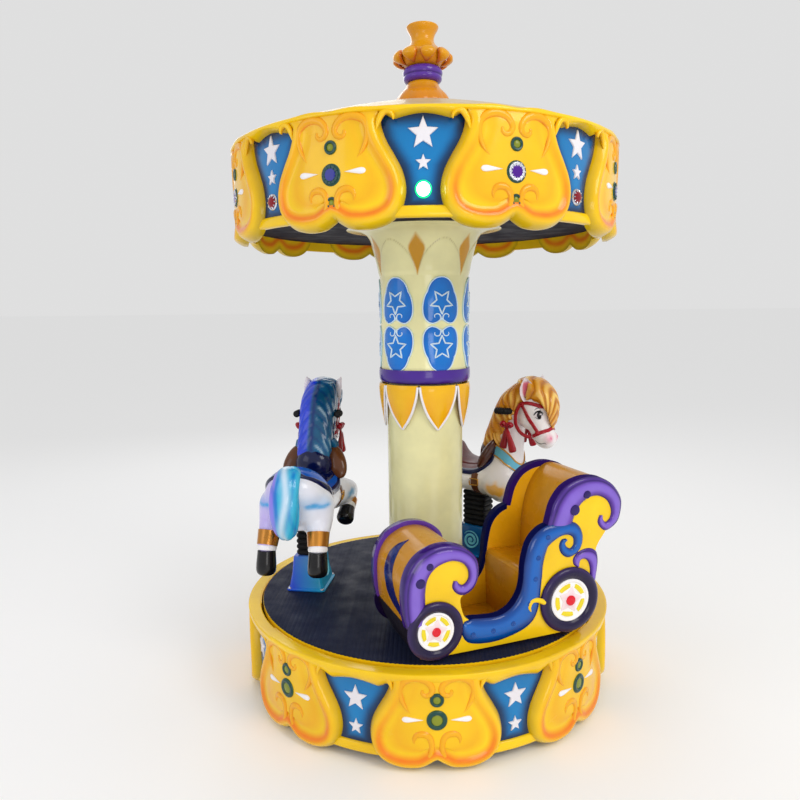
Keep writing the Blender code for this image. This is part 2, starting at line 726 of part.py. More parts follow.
def side_outline():
    """The car's side seen from outside: x towards its rear, y up from the mat."""
    front_scroll = arc((0.010, 0.205), (0.108, 0.115), 200, -20, 14)
    front_curl = arc((0.070, 0.200), (0.034, 0.026), -40, -150, 4)
    opening = [(0.070, 0.150), (0.078, 0.110), (0.100, 0.100), (0.178, 0.096)]
    swoosh = arc((0.178, 0.178), (0.078, 0.082), -72, 0, 5)
    rise = [(0.260, 0.237), (0.272, 0.280), (0.300, 0.320), (0.344, 0.345)]
    rear_scroll = arc((0.468, 0.345), (0.116, 0.118), 150, -25, 14)
    rear_curl = [(0.545, 0.302), (0.531, 0.296)]
    rear = [(0.502, 0.246), (0.509, 0.200), (0.500, 0.110), (0.470, 0.040), (0.430, 0.012)]
    sill = [(0.340, 0.012), (0.050, 0.010), (-0.050, 0.014), (-0.085, 0.050), (-0.098, 0.110)]
    return front_scroll + front_curl + opening + swoosh + rise + rear_scroll + rear_curl + rear + sill


def hood_outline():
    """A curved sheet from the car's nose over the legs."""
    outer = arc((0.010, 0.200), (0.098, 0.104), 190, 25, 12)
    inner = arc((0.010, 0.200), (0.086, 0.092), 25, 190, 12)
    return [(-0.060, 0.013), (-0.084, 0.060)] + outer + inner + [(-0.072, 0.064), (-0.050, 0.020)]


def seat_back_outline():
    front = [(0.398, GAP * 2 + 0.030), (0.398, 0.205), (0.402, 0.300), (0.420, 0.370), (0.445, 0.420)]
    top = arc((0.478, 0.365), (0.090, 0.092), 108, -35, 9)
    rear = [(0.512, 0.270), (0.490, 0.235), (0.492, 0.180), (0.480, 0.080), (0.450, 0.032)]
    return front + top + rear


def make_car(spin):
    frame = add_empty("car_frame", CAR_ORIGIN, CAR_TURN)
    frame.parent = spin
    upright = (math.pi / 2, 0, 0)

    def panel(name, outline, depths, material):
        middle = (depths[0] + depths[1]) / 2
        cross_section(name, outline, depths[1] - depths[0], material, parent=frame,
                      location=(0, middle, 0), rotation=upright)

    panel("car_side_outer", side_outline(), SIDE_OUTER, paint("car_side_outer_yellow", YELLOW))
    panel("car_side_inner", side_outline(), SIDE_INNER, paint("car_side_inner_yellow", YELLOW))
    cabin = (SIDE_OUTER[1] + GAP, SIDE_INNER[0] - GAP)
    panel("car_hood", hood_outline(), cabin, paint("car_hood_ochre", (0.70, 0.42, 0.03)))
    panel("car_seat_back", seat_back_outline(), cabin, paint("car_back_ochre", (0.70, 0.42, 0.03)))
    bench = [(0.262, 0.0303), (0.3975, 0.0303), (0.3975, 0.200), (0.275, 0.205), (0.266, 0.195)]
    panel("car_bench", bench, cabin, paint("car_bench_ochre", (0.66, 0.38, 0.03)))
    floor = [(-0.045, GAP), (0.470, GAP), (0.470, 0.030), (-0.045, 0.030)]
    panel("car_floor", floor, cabin, paint("car_floor_ochre", (0.60, 0.36, 0.03)))

    wheel_places = [
        ("car_wheel_1", FRONT_WHEEL, SIDE_OUTER[0] - GAP, -1),
        ("car_wheel_2", REAR_WHEEL, SIDE_OUTER[0] - GAP, -1),
        ("car_wheel_3", FRONT_WHEEL, SIDE_INNER[1] + GAP, 1),
        ("car_wheel_4", REAR_WHEEL, SIDE_INNER[1] + GAP, 1),
    ]
    for name, (x, height, radius), depth, outward in wheel_places:
        hub = radius * 0.22
        disc = radius * 0.66
        thick = WHEEL_DEPTH
        shoulder = (disc + radius) / 2
        profile = [
            (0, thick), (hub, thick), (hub * 1.3, thick * 0.55), (disc, thick * 0.5),
            (disc + WHEEL_LIP, thick * 0.9), (shoulder, thick), (radius - WHEEL_LIP, thick * 0.75),
            (radius, thick * 0.3), (radius, 0), (0, 0),
        ]
        turned(name, profile, paint(name + "_tyre", (0.05, 0.03, 0.15)), COARSE, parent=frame,
               location=(x, depth, height), rotation=(-outward * math.pi / 2, 0, 0))


def main():
    make_base()
    spin = add_empty("turntable_axis", (0, 0, 0))
    make_deck(spin)
    make_column(spin)
    make_canopy(spin)
    make_finial(spin)
    horse_mesh = make_horse_mesh()
    make_seat_on_post("left", LEFT_SEAT, spin, horse_mesh, (0.75, 0.80, 0.92))
    make_seat_on_post("right", RIGHT_SEAT, spin, horse_mesh, (0.90, 0.88, 0.80))
    make_car(spin)


main()
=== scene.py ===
"""The looks of a three-seat kiddie carousel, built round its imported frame, in metres, +Z up."""
import json
import math

import bmesh
import bpy
import numpy as np
from mathutils import Matrix, Vector
from mathutils.bvhtree import BVHTree

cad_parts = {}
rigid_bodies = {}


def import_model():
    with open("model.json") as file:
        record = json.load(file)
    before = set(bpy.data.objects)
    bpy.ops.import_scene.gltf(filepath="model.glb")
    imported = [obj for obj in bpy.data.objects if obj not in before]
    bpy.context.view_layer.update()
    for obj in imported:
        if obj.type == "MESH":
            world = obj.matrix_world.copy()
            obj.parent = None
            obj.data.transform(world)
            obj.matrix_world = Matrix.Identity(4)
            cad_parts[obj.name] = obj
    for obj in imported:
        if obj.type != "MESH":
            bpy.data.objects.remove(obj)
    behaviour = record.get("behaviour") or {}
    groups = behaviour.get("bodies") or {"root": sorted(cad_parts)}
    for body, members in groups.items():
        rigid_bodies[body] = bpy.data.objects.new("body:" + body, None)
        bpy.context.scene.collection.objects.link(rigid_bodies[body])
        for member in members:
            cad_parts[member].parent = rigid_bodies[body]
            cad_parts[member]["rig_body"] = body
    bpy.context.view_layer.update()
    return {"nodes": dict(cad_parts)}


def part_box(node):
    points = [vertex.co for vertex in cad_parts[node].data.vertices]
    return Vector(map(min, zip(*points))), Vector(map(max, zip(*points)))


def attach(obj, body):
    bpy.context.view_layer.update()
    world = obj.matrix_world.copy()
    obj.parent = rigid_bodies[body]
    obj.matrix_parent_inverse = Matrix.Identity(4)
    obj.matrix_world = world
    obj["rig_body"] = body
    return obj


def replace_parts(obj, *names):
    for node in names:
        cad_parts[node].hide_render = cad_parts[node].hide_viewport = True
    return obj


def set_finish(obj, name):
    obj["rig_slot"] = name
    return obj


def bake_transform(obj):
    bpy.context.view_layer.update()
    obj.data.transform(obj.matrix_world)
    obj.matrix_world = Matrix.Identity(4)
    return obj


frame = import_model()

# Camera, solved from the photograph
CAMERA_PLACE = (0.0, -2.3177, 1.2249)
CAMERA_YAW = 0.0356
CAMERA_PITCH = 0.1276
CAMERA_ROLL = 0.011
CAMERA_LENS = 31.54
SENSOR_WIDTH = 36.0

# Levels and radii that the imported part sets
FRONT = -math.pi / 2
SEAT_GAP = 0.0003
PERIODS = 8
PERIOD = 2 * math.pi / PERIODS
MOULD_TOP = 0.2795
MOULD_RADIUS = 0.598
OUTER_LIMIT = 0.5984
INNER_RADIUS = 0.5565
BASE_PHASE = FRONT + math.radians(2.6)
CANOPY_PHASE = FRONT + PERIOD / 2
CANOPY_LOBES = 1.4225
MAT_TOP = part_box("deck_mat")[1].z
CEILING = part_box("canopy_ceiling")[0].z
DOME_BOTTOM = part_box("canopy_dome")[0].z
DOME_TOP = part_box("canopy_dome")[1].z
RING_LOW = 0.993
RING_HIGH = 1.035


# Colours

def srgb(red, green, blue):
    """A colour given as it looks on a screen, in the linear values that a shader takes."""
    shares = [c / 255 for c in (red, green, blue)]
    return tuple(((c + 0.055) / 1.055) ** 2.4 if c > 10 / 255 else c / 12.92 for c in shares)


YELLOW = (255, 204, 20)
OCHRE = (208, 142, 14)
CREAM = (238, 233, 176)
WHITE = (244, 242, 244)
PURPLE = (98, 56, 172)
DEEP_PURPLE = (38, 14, 94)
TYRE = (24, 10, 56)
NAVY = (2, 14, 66)
STRONG_BLUE = (0, 72, 154)
DARK_GREEN = (14, 66, 62)
GOLD = (232, 164, 8)
RED = (172, 12, 34)
BROWN = (104, 58, 26)
BLACK = (16, 15, 18)
MAT_NAVY = (13, 23, 54)
LIGHT_BLUE = (110, 196, 226)


# Materials

def node(tree, kind, **values):
    made = tree.nodes.new(kind)
    for name, value in values.items():
        setattr(made, name, value)
    return made


NOISE_ROUGHNESS = 0.55


def noise(tree, scale, detail):
    """Noise in the object's own coordinates, in metres."""
    coords = node(tree, "ShaderNodeTexCoord")
    made = node(tree, "ShaderNodeTexNoise")
    made.inputs["Scale"].default_value = scale
    made.inputs["Detail"].default_value = detail
    made.inputs["Roughness"].default_value = NOISE_ROUGHNESS
    tree.links.new(coords.outputs["Object"], made.inputs["Vector"])
    return made.outputs["Fac"]


def ramp(tree, value, low, high, to_low, to_high):
    """Map the values from low to high on to those from to_low to to_high, and hold them outside."""
    made = node(tree, "ShaderNodeMapRange")
    for socket, number in zip(("From Min", "From Max", "To Min", "To Max"), (low, high, to_low, to_high)):
        made.inputs[socket].default_value = number
    tree.links.new(value, made.inputs["Value"])
    return made.outputs["Result"]


def blended(tree, share, first, second):
    """Mix two colours, each a plain colour or a socket, by a share socket."""
    made = node(tree, "ShaderNodeMix", data_type="RGBA")
    for slot, value in (("Factor", share), (6, first), (7, second)):
        if isinstance(value, bpy.types.NodeSocket):
            tree.links.new(value, made.inputs[slot])
        else:
            made.inputs[slot].default_value = (*value, 1.0)
    return made.outputs[2]


def mask(tree, name):
    return node(tree, "ShaderNodeAttribute", attribute_name=name).outputs["Fac"]


def product(tree, first, second):
    made = node(tree, "ShaderNodeMath", operation="MULTIPLY", use_clamp=True)
    for socket, value in zip(made.inputs, (first, second)):
        tree.links.new(value, socket)
    return made.outputs[0]


def bumped(tree, strength, distance, height, before=None):
    """A bump by a height socket, on top of the normal of an earlier one."""
    made = node(tree, "ShaderNodeBump")
    made.inputs["Strength"].default_value = strength
    made.inputs["Distance"].default_value = distance
    tree.links.new(height, made.inputs["Height"])
    if before:
        tree.links.new(before, made.inputs["Normal"])
    return made.outputs["Normal"]


# Scales of the noise that breaks up a painted surface, from coarse to fine
CLOUDS = 5.0
WAVINESS = 9.0
SMEARS = 14.0
BROKEN_SPRAY = 22.0
DUST = 190.0
ORANGE_PEEL = 420.0


def finish(name, colour, roughness=0.2, coat=0.5, metallic=0.0, relief=0.06, waves=0.12, mottle=0.1,
           speckle=None, specular=0.25, **tints):
    """A moulded and painted surface: a hand-sprayed colour, orange peel, faint waviness and uneven gloss.

    Each tint is a mask's name with (red, green, blue, strength). They lie over the colour in their order."""
    colour = srgb(*colour)
    material = bpy.data.materials.new(name)
    material.use_nodes = True
    tree = material.node_tree
    shader = tree.nodes["Principled BSDF"]
    shader.inputs["Metallic"].default_value = metallic
    shader.inputs["Coat Weight"].default_value = coat * 0.5
    shader.inputs["Specular IOR Level"].default_value = specular
    shader.inputs["Coat Roughness"].default_value = 0.06
    cloud = noise(tree, CLOUDS, 4.0)
    darker = tuple(c * (1 - mottle * 1.6) for c in colour)
    lighter = tuple(min(1.0, c * (1 + mottle)) for c in colour)
    surface = blended(tree, ramp(tree, cloud, 0.3, 0.7, 0.0, 1.0), darker, lighter)
    for attribute, (*tint, strength) in tints.items():
        broken = ramp(tree, noise(tree, BROKEN_SPRAY, 3.0), 0.25, 0.75, strength * 0.8, strength)
        surface = blended(tree, product(tree, mask(tree, attribute), broken), surface, srgb(*tint))
    if speckle:
        dust = ramp(tree, noise(tree, DUST, 2.0), 0.6, 0.72, 0.0, speckle)
        surface = blended(tree, dust, surface, tuple(c * 0.55 for c in colour))
    tree.links.new(surface, shader.inputs["Base Color"])
    smear = ramp(tree, noise(tree, SMEARS, 5.0), 0.3, 0.75, roughness * 0.8, roughness * 1.45)
    tree.links.new(smear, shader.inputs["Roughness"])
    peel = bumped(tree, relief, 0.0006, noise(tree, ORANGE_PEEL, 2.0))
    wavy = bumped(tree, waves, 0.004, noise(tree, WAVINESS, 2.0), peel)
    tree.links.new(wavy, shader.inputs["Normal"])
    return material


def rubber_mat(name):
    """Navy anti-slip matting: fine ribs one way, wider grooves the other, scuffed dull patches."""
    material = finish(name, MAT_NAVY, 0.55, 0.0, relief=0.2, waves=0.0, mottle=0.08, speckle=0.25)
    tree = material.node_tree
    shader = tree.nodes["Principled BSDF"]
    coords = node(tree, "ShaderNodeTexCoord")
    previous = shader.inputs["Normal"].links[0].from_socket
    for axis, scale, depth in (("Y", 62.0, 0.9), ("X", 24.0, 0.5)):
        ribs = node(tree, "ShaderNodeTexWave", bands_direction=axis, wave_profile="SIN")
        ribs.inputs["Scale"].default_value = scale
        tree.links.new(coords.outputs["Object"], ribs.inputs["Vector"])
        pattern = ramp(tree, ribs.outputs["Fac"], 0.2, 0.5, 0.0, 1.0)
        previous = bumped(tree, depth, 0.0016, pattern, previous)
    tree.links.new(previous, shader.inputs["Normal"])
    return material


def glow(name, colour, power, tint=None):
    """A lit lens: clear plastic that also shines. The canopy's jewels and lamp 1's collar use it too, for a
    painted glow.
    """
    material = finish(name, tint or colour, 0.08, 0.8, relief=0.0, waves=0.0)
    shader = material.node_tree.nodes["Principled BSDF"]
    shader.inputs["Emission Color"].default_value = (*srgb(*colour), 1.0)
    shader.inputs["Emission Strength"].default_value = power
    return material


def recipe(*values, name=None, make=finish, **options):
    """How a paint is made. The material is called by the paint's own name unless another is given."""
    return lambda key: make(name or key, *values, **options)


MATERIALS = {}


def paint(key):
    """The material of that paint, made once."""
    if key not in MATERIALS:
        MATERIALS[key] = RECIPES[key](key)
    return MATERIALS[key]


RECIPES = {
    # yellow: olive is painted shade in the drums' recesses and at the rims' feet.
    "yellow": recipe(YELLOW, name="yellow_gelcoat", orange=(238, 96, 18, 0.9), olive=(176, 150, 20, 0.8),
                     gold=(238, 160, 16, 0.8)),
    "ochre": recipe(OCHRE, 0.26, 0.4, name="ochre_gelcoat", orange=(150, 92, 6, 0.9)),
    # cream: olive is a darker line round the bell's petals, and painted shade under its flare and at the
    # tube's ends.
    "cream": recipe(CREAM, 0.16, 0.7, name="cream_gelcoat", gold=(206, 146, 0, 1.3),
                    olive=(176, 158, 110, 0.9)),
    # white: olive is painted shade on the flanks of the petals' edge ridges.
    "white": recipe(WHITE, 0.2, 0.6, name="white_gelcoat", mottle=0.02, olive=(150, 140, 190, 0.6)),
    # purple: olive is painted shade at the bands' edges and grooves and in the finial collar's groove; gold
    # is a painted highlight on the bands' crests.
    "purple": recipe(PURPLE, 0.2, 0.7, name="purple_gelcoat", olive=(*DEEP_PURPLE, 1.0),
                     gold=(146, 118, 222, 0.8)),
    # ring_purple: olive is painted shade at the ring's top and bottom.
    "ring_purple": recipe((72, 36, 146), 0.2, 0.6, olive=(28, 10, 74, 1.0)),
    "edge_purple": recipe((44, 20, 98), 0.5, 0.0, specular=0.03),
    "edge_navy": recipe((8, 14, 70), 0.5, 0.0, specular=0.03),
    "crescent": recipe((6, 22, 116), 0.2, 0.6, name="crescent_blue", mottle=0.25),
    "deep_purple": recipe(DEEP_PURPLE, 0.25, 0.6),
    # tyre: gold is a painted highlight along the tyre's shoulder.
    "tyre": recipe(TYRE, 0.28, 0.5, name="tyre_purple", gold=(74, 52, 120, 0.45)),
    # blue: olive is painted shade at the swoosh's edges; gold is a painted highlight on its crest.
    "blue": recipe(STRONG_BLUE, 0.16, 0.8, name="strong_blue", olive=(4, 34, 104, 1.0),
                   gold=(4, 104, 196, 0.9)),
    # panel: olive is painted shade at the panel's edges; gold lightens its middle.
    "panel": recipe((0, 98, 166), 0.18, 0.7, name="panel_blue", olive=(2, 24, 58, 1.0),
                    gold=(8, 140, 208, 0.8)),
    "oval": recipe((0, 120, 214), 0.14, 0.8, name="oval_blue", mottle=0.2, olive=(10, 60, 170, 0.7)),
    # pale_line: olive is painted shade on the flanks of its ridges.
    "pale_line": recipe((222, 240, 250), 0.2, 0.6, mottle=0.05, olive=(130, 200, 240, 0.8)),
    "star_white": recipe((232, 230, 238), 0.24, 0.4, mottle=0.03, speckle=0.12),
    "ring_green": recipe(DARK_GREEN, 0.18, 0.7, gold=(90, 120, 40, 0.8)),
    "disc_green": recipe((130, 140, 30), 0.2, 0.6),
    "gold": recipe(GOLD, 0.2, 0.6, name="gold_paint", orange=(206, 84, 24, 0.95), gold=(250, 196, 40, 0.8)),
    "gold_metal": recipe((196, 132, 52), 0.28, 0.5, 0.85, waves=0.05),
    "silver": recipe((220, 222, 232), 0.2, 0.3, 0.9, waves=0.0),
    # dark: near black, used as painted shade on the plinth, below the hood's edge and on the floor pan's
    # front.
    "dark": recipe((26, 20, 34), 0.5, 0.1, name="dark_paint", mottle=0.3, waves=0.0),
    "black": recipe(BLACK, 0.22, 0.6, name="black_gloss"),
    "rubber": recipe((22, 21, 24), 0.55, 0.05, name="black_rubber", relief=0.2, mottle=0.3, speckle=0.3),
    "steel": recipe((190, 190, 196), 0.25, 0.0, 1.0, waves=0.0, speckle=0.2),
    "dome": recipe((214, 190, 160), 0.35, 0.3, name="dome_cream", olive=(206, 176, 70, 0.8)),
    "mat": recipe(name="mat_navy", make=rubber_mat),
    "red": recipe(RED, 0.2, 0.6, name="strap_red", mottle=0.15),
    "dark_red": recipe((140, 10, 26), 0.2, 0.6, mottle=0.15),
    "hub_red": recipe((226, 16, 40), 0.15, 0.7),
    "inner_gold": recipe((232, 168, 16), 0.26, 0.5, orange=(176, 104, 6, 0.9)),
    # ceiling: near black, painted shade under the canopy.
    "ceiling": recipe((13, 7, 27), 0.75, 0.0, name="ceiling_dark", mottle=0.1, waves=0.0),
    "wheel_white": recipe((248, 246, 248), 0.2, 0.6, mottle=0.02, gold=(240, 206, 212, 0.9)),
    "wheel_yellow": recipe((240, 218, 40), 0.22, 0.5),
    "brown": recipe(BROWN, 0.22, 0.6, name="saddle_brown", mottle=0.25, gold=(168, 96, 60, 0.7)),
    "navy": recipe(NAVY, 0.18, 0.7),
    "blanket": recipe((0, 86, 188), 0.18, 0.6, name="blanket_blue"),
    "band_blue": recipe(LIGHT_BLUE, 0.2, 0.6),
    "pink": recipe((224, 112, 146), 0.3, 0.3, name="ear_pink"),
    # The jewels' stones glow faintly though no lamp is in them: painted glow.
    "gem_blue": recipe((20, 40, 190), 0.15, (10, 20, 120), make=glow),
    "gem_purple": recipe((90, 20, 170), 0.15, (70, 14, 130), make=glow),
    "gem_red": recipe((190, 10, 40), 0.12, (120, 4, 24), make=glow),
    "lens_white": recipe((226, 255, 240), 6.0, make=glow),
    # lens_green: a painted glow on lamp 1's collar.
    "lens_green": recipe((10, 220, 120), 1.1, make=glow),
    "lens_violet": recipe((214, 190, 255), 2.5, make=glow),
    "horse_white": recipe(WHITE, 0.18, 0.7, mottle=0.02),
    "horse_white_warm": recipe((244, 240, 240), 0.18, 0.7, mottle=0.02, orange=(255, 184, 20, 1.0),
                               olive=(236, 124, 160, 0.9)),
    "horse_white_cool": recipe((236, 238, 250), 0.18, 0.7, mottle=0.02, gold=(180, 156, 238, 0.9),
                               orange=(20, 160, 226, 0.95), olive=(232, 110, 150, 0.9)),
    "ear_white": recipe((240, 232, 238), 0.2, 0.6, mottle=0.02, gold=(206, 40, 84, 0.95)),
    # hair_gold: olive is painted shade in the grooves between locks; gold is a painted highlight along them.
    "hair_gold": recipe((216, 138, 16), 0.18, 0.7, mottle=0.18, olive=(160, 88, 10, 0.9),
                        gold=(254, 214, 112, 0.95)),
    # hair_blue: olive is a navy streak plus painted shade in the grooves; gold is white strokes laid as a
    # painted highlight on the lock crests.
    "hair_blue": recipe((22, 104, 150), 0.16, 0.8, mottle=0.3, orange=(40, 62, 224, 0.95),
                        olive=(10, 34, 110, 0.9), gold=(196, 222, 236, 0.9)),
    # tail_blue: olive is blue streaks plus painted shade in the grooves.
    "tail_blue": recipe((60, 190, 230), 0.16, 0.8, mottle=0.15, orange=(150, 116, 236, 0.9),
                        olive=(0, 110, 206, 0.9), gold=(214, 232, 250, 0.95)),
    "seat_red": recipe((104, 30, 22), 0.3, 0.3, mottle=0.15),
    "pommel": recipe((74, 34, 20), 0.14, 0.9, name="pommel_brown", mottle=0.25),
    "gold_trim": recipe((206, 150, 60), 0.22, 0.5, 0.4),
    # stand_left and stand_right: olive is painted shade on the rounded corners; gold lightens the middle of
    # each face.
    "stand_left": recipe((40, 160, 210), 0.2, 0.6, mottle=0.05, gold=(206, 196, 244, 0.9),
                         olive=(20, 150, 190, 0.9), orange=(30, 60, 220, 0.95)),
    "stand_right": recipe((0, 104, 176), 0.2, 0.6, mottle=0.08, olive=(4, 60, 120, 0.9),
                          gold=(10, 130, 200, 0.8)),
    "stand_relief": recipe((120, 214, 236), 0.2, 0.6, mottle=0.05),
    "lens_cyan": recipe((150, 220, 240), 0.6, make=glow),
}


# Meshes: a form gathers closed shapes, their paint masks and their materials, and becomes one object

# Olive and gold often carry painted shade and painted highlights.
MASKS = ("orange", "olive", "gold")
WELD_DISTANCE = 1e-5


def linked(name, data):
    item = bpy.data.objects.new(name, data)
    bpy.context.scene.collection.objects.link(item)
    return item


def mesh_of(name, points, faces):
    mesh = bpy.data.meshes.new(name)
    mesh.from_pydata(points, [], faces)
    return mesh


def cleaned(mesh, weld=False):
    """Turn a mesh's faces outwards, after joining the points that lie on each other."""
    shape = bmesh.new()
    shape.from_mesh(mesh)
    if weld:
        bmesh.ops.remove_doubles(shape, verts=shape.verts, dist=WELD_DISTANCE)
    bmesh.ops.recalc_face_normals(shape, faces=shape.faces)
    shape.to_mesh(mesh)
    shape.free()


def shade(mesh, sharp):
    """Shade a mesh smooth, except at edges with a turn of more than sharp degrees."""
    mesh.shade_smooth()
    mesh.set_sharp_from_angle(angle=math.radians(sharp))


def only_paint(mesh, material):
    mesh.materials.clear()
    mesh.materials.append(paint(material))


def repaint(item, material, chosen):
    """Give the chosen faces of an object a second material."""
    item.data.materials.append(paint(material))
    for polygon in item.data.polygons:
        if chosen(polygon):
            polygon.material_index = 1


def evaluated(holder):
    """The mesh that an object's modifiers or curve make. The object itself goes."""
    bpy.context.view_layer.update()
    mesh = bpy.data.meshes.new_from_object(holder.evaluated_get(bpy.context.evaluated_depsgraph_get()))
    bpy.data.objects.remove(holder)
    return mesh


def paint_mask(mesh, name, values):
    layer = mesh.attributes.new(name, "FLOAT", "POINT")
    layer.data.foreach_set("value", np.asarray(values, np.float32))


class Form:
    def __init__(self):
        self.points = []
        self.faces = []
        self.paints = []
        self.masks = {name: [] for name in MASKS}

    def add(self, points, faces, material=0, **masks):
        """points is (n, 3); a mask is one number, or one for each point."""
        points = np.asarray(points, float)
        start = len(self.points)
        self.points.extend(map(tuple, points))
        self.faces.extend(tuple(start + i for i in face) for face in faces)
        self.paints.extend(material if isinstance(material, list) else [material] * len(faces))
        for name in MASKS:
            values = np.asarray(masks.get(name, 0.0), float)
            self.masks[name].extend(np.broadcast_to(values, (len(points),)))
        return self

    def make(self, name, body, materials, slot=None, matrix=None, smooth=40, weld=False):
        mesh = mesh_of(name, self.points, self.faces)
        for attribute, values in self.masks.items():
            if any(values):
                paint_mask(mesh, attribute, values)
        for material in materials:
            mesh.materials.append(paint(material))
        mesh.polygons.foreach_set("material_index", self.paints)
        cleaned(mesh, weld)
        shade(mesh, smooth)
        return place(name, mesh, body, slot, matrix)


def place(name, mesh, body, slot, matrix=None):
    """Link a mesh, brought from its own frame by a matrix, and let it ride on a body."""
    if matrix is not None:
        mesh.transform(matrix)
    item = linked(name, mesh)
    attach(item, body)
    if slot:
        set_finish(item, slot)
    return item


def copies(first, count, step, names):
    """More copies of an object, each turned on by step about the column's axis."""
    made = [first]
    for number in range(1, count):
        mesh = first.data.copy()
        mesh.transform(Matrix.Rotation(step * number, 4, "Z"))
        made.append(place(names.format(number + 1), mesh, first["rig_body"], first.get("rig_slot")))
    return made


def smooth_path(points, per, closed=False):
    """A Catmull-Rom curve through points of any dimension, with per steps between two of them."""
    points = np.asarray(points, float)
    count = len(points)
    spans = count if closed else count - 1
    made = []
    for i in range(spans):
        if closed:
            p0, p1, p2, p3 = (points[(i + k) % count] for k in (-1, 0, 1, 2))
        else:
            p0 = points[max(i - 1, 0)]
            p1 = points[i]
            p2 = points[i + 1]
            p3 = points[min(i + 2, count - 1)]
        for t in np.arange(per) / per:
            made.append(0.5 * (2 * p1 + (p2 - p0) * t + (2 * p0 - 5 * p1 + 4 * p2 - p3) * t * t
                               + (3 * p1 - p0 - 3 * p2 + p3) * t ** 3))
    if not closed:
        made.append(points[-1])
    return np.array(made)


def distances(path):
    """How far along a path each of its points lies."""
    return np.r_[0, np.cumsum(np.linalg.norm(np.diff(path, axis=0), axis=1))]


def directions(path, guard=0.0):
    """The unit tangent at each point of a path. guard keeps it finite where points coincide."""
    along = np.gradient(path, axis=0)
    return along / (np.linalg.norm(along, axis=1)[:, None] + guard)


def circle(count):
    """Angles at equal steps round a circle."""
    return 2 * math.pi * np.arange(count) / count


def polar(radius, angle, height):
    return np.column_stack([radius * np.cos(angle), radius * np.sin(angle), height])


def resample(path, count):
    """count points at equal distances along a path."""
    path = np.asarray(path, float)
    steps = distances(path)
    at = np.linspace(0, steps[-1], count)
    return np.column_stack([np.interp(at, steps, path[:, k]) for k in range(path.shape[1])])


def grid_faces(rows, columns, close_rows=False, close_columns=False):
    """Faces of a grid of rows by columns of points, which may join up either way."""
    made = []
    for r in range(rows if close_rows else rows - 1):
        for c in range(columns if close_columns else columns - 1):
            a = r * columns + c
            b = r * columns + (c + 1) % columns
            d = ((r + 1) % rows) * columns + c
            e = ((r + 1) % rows) * columns + (c + 1) % columns
            made.append((a, b, e, d))
    return made


def tube_faces(rows, sides):
    """Faces of a closed body made of rows of points round it, with its two ends."""
    ends = [tuple(reversed(range(sides))), tuple((rows - 1) * sides + i for i in range(sides))]
    return grid_faces(rows, sides, close_columns=True) + ends


def sheet_faces(rows, columns):
    """Faces of a closed sheet: a grid of front points, the same of back points and the walls between."""
    shift = rows * columns
    front = grid_faces(rows, columns)
    back = [tuple(shift + i for i in reversed(face)) for face in front]
    loop = list(range(columns)) + [r * columns + columns - 1 for r in range(1, rows)]
    loop += [(rows - 1) * columns + c for c in range(columns - 2, -1, -1)]
    loop += [r * columns for r in range(rows - 2, 0, -1)]
    pairs = zip(loop, loop[1:] + loop[:1])
    return front + back + [(a, b, b + shift, a + shift) for a, b in pairs]


def ease(value, low, high):
    t = np.clip((np.asarray(value, float) - low) / (high - low), 0, 1)
    return t * t * (3 - 2 * t)


# Flat shapes lie in (x, y, out) and are bent on to a surface by a function

def ridge(form, path, widths, heights, bend, level=0.0, material=0, sides=10, shade="orange",
          shade_low=0.0, shade_top=0.0, **masks):
    """A raised rounded strip along a flat path: an elliptic tube half sunk in the surface."""
    path = np.asarray(path, float)
    count = len(path)
    widths = np.interp(np.linspace(0, 1, count), np.linspace(0, 1, len(widths)), widths)
    heights = np.interp(np.linspace(0, 1, count), np.linspace(0, 1, len(heights)), heights)
    along = directions(path, 1e-12)
    across = np.column_stack([-along[:, 1], along[:, 0]])
    angles = circle(sides)
    points = []
    for i in range(count):
        for a in angles:
            flat = path[i] + across[i] * widths[i] / 2 * math.cos(a)
            points.append((flat[0], flat[1], level + heights[i] * math.sin(a)))
    flanks = np.tile((1 - np.clip(np.sin(angles), 0, 1)) ** 2, count)
    if shade_low:
        masks[shade] = shade_top + flanks * (shade_low - shade_top)
    form.add(bend(np.array(points)), tube_faces(count, sides), material, **masks)


def pillow(form, outline, levels, bend, material=0, centre=None, masks=None):
    """A raised patch inside a flat outline. levels are (share of the way out, lift), outermost first."""
    outline = np.asarray(outline, float)
    centre = np.asarray(centre if centre is not None else outline.mean(0), float)
    count = len(outline)
    rings = []
    for share, lift in levels:
        flat = centre + (outline - centre) * share
        rings.append(np.column_stack([flat, np.full(count, lift)]))
    top = np.array([[*centre, levels[-1][1]]])
    base = np.array([[*centre, levels[0][1]]])
    points = np.vstack(rings + [top, base])
    faces = grid_faces(len(levels), count, close_columns=True)
    last = (len(levels) - 1) * count
    peak = len(levels) * count
    for i in range(count):
        after = (i + 1) % count
        faces.append((last + i, last + after, peak))
        faces.append((after, i, peak + 1))
    values = {}
    for name, shares in (masks or {}).items():
        values[name] = np.r_[np.repeat(shares, count), shares[-1], shares[0]]
    form.add(bend(points), faces, material, **values)


def turned(form, profile, bend, steps, material=0, masks=None):
    """A turned button: profile is (radius, lift) from the rim at the back to the middle at the front."""
    points = []
    for radius, lift in profile:
        for a in circle(steps):
            points.append((radius * math.cos(a), radius * math.sin(a), lift))
    values = {name: np.repeat(shares, steps) for name, shares in (masks or {}).items()}
    form.add(bend(np.array(points)), tube_faces(len(profile), steps), material, **values)


def star_points(radius, inner, turn=math.pi / 2, centre=(0.0, 0.0)):
    """A five-pointed star. inner is the share of the radius at which its notches lie."""
    made = []
    for i in range(10):
        a = turn + math.pi * i / 5
        r = radius if i % 2 == 0 else radius * inner
        made.append((centre[0] + r * math.cos(a), centre[1] + r * math.sin(a)))
    return np.array(made)


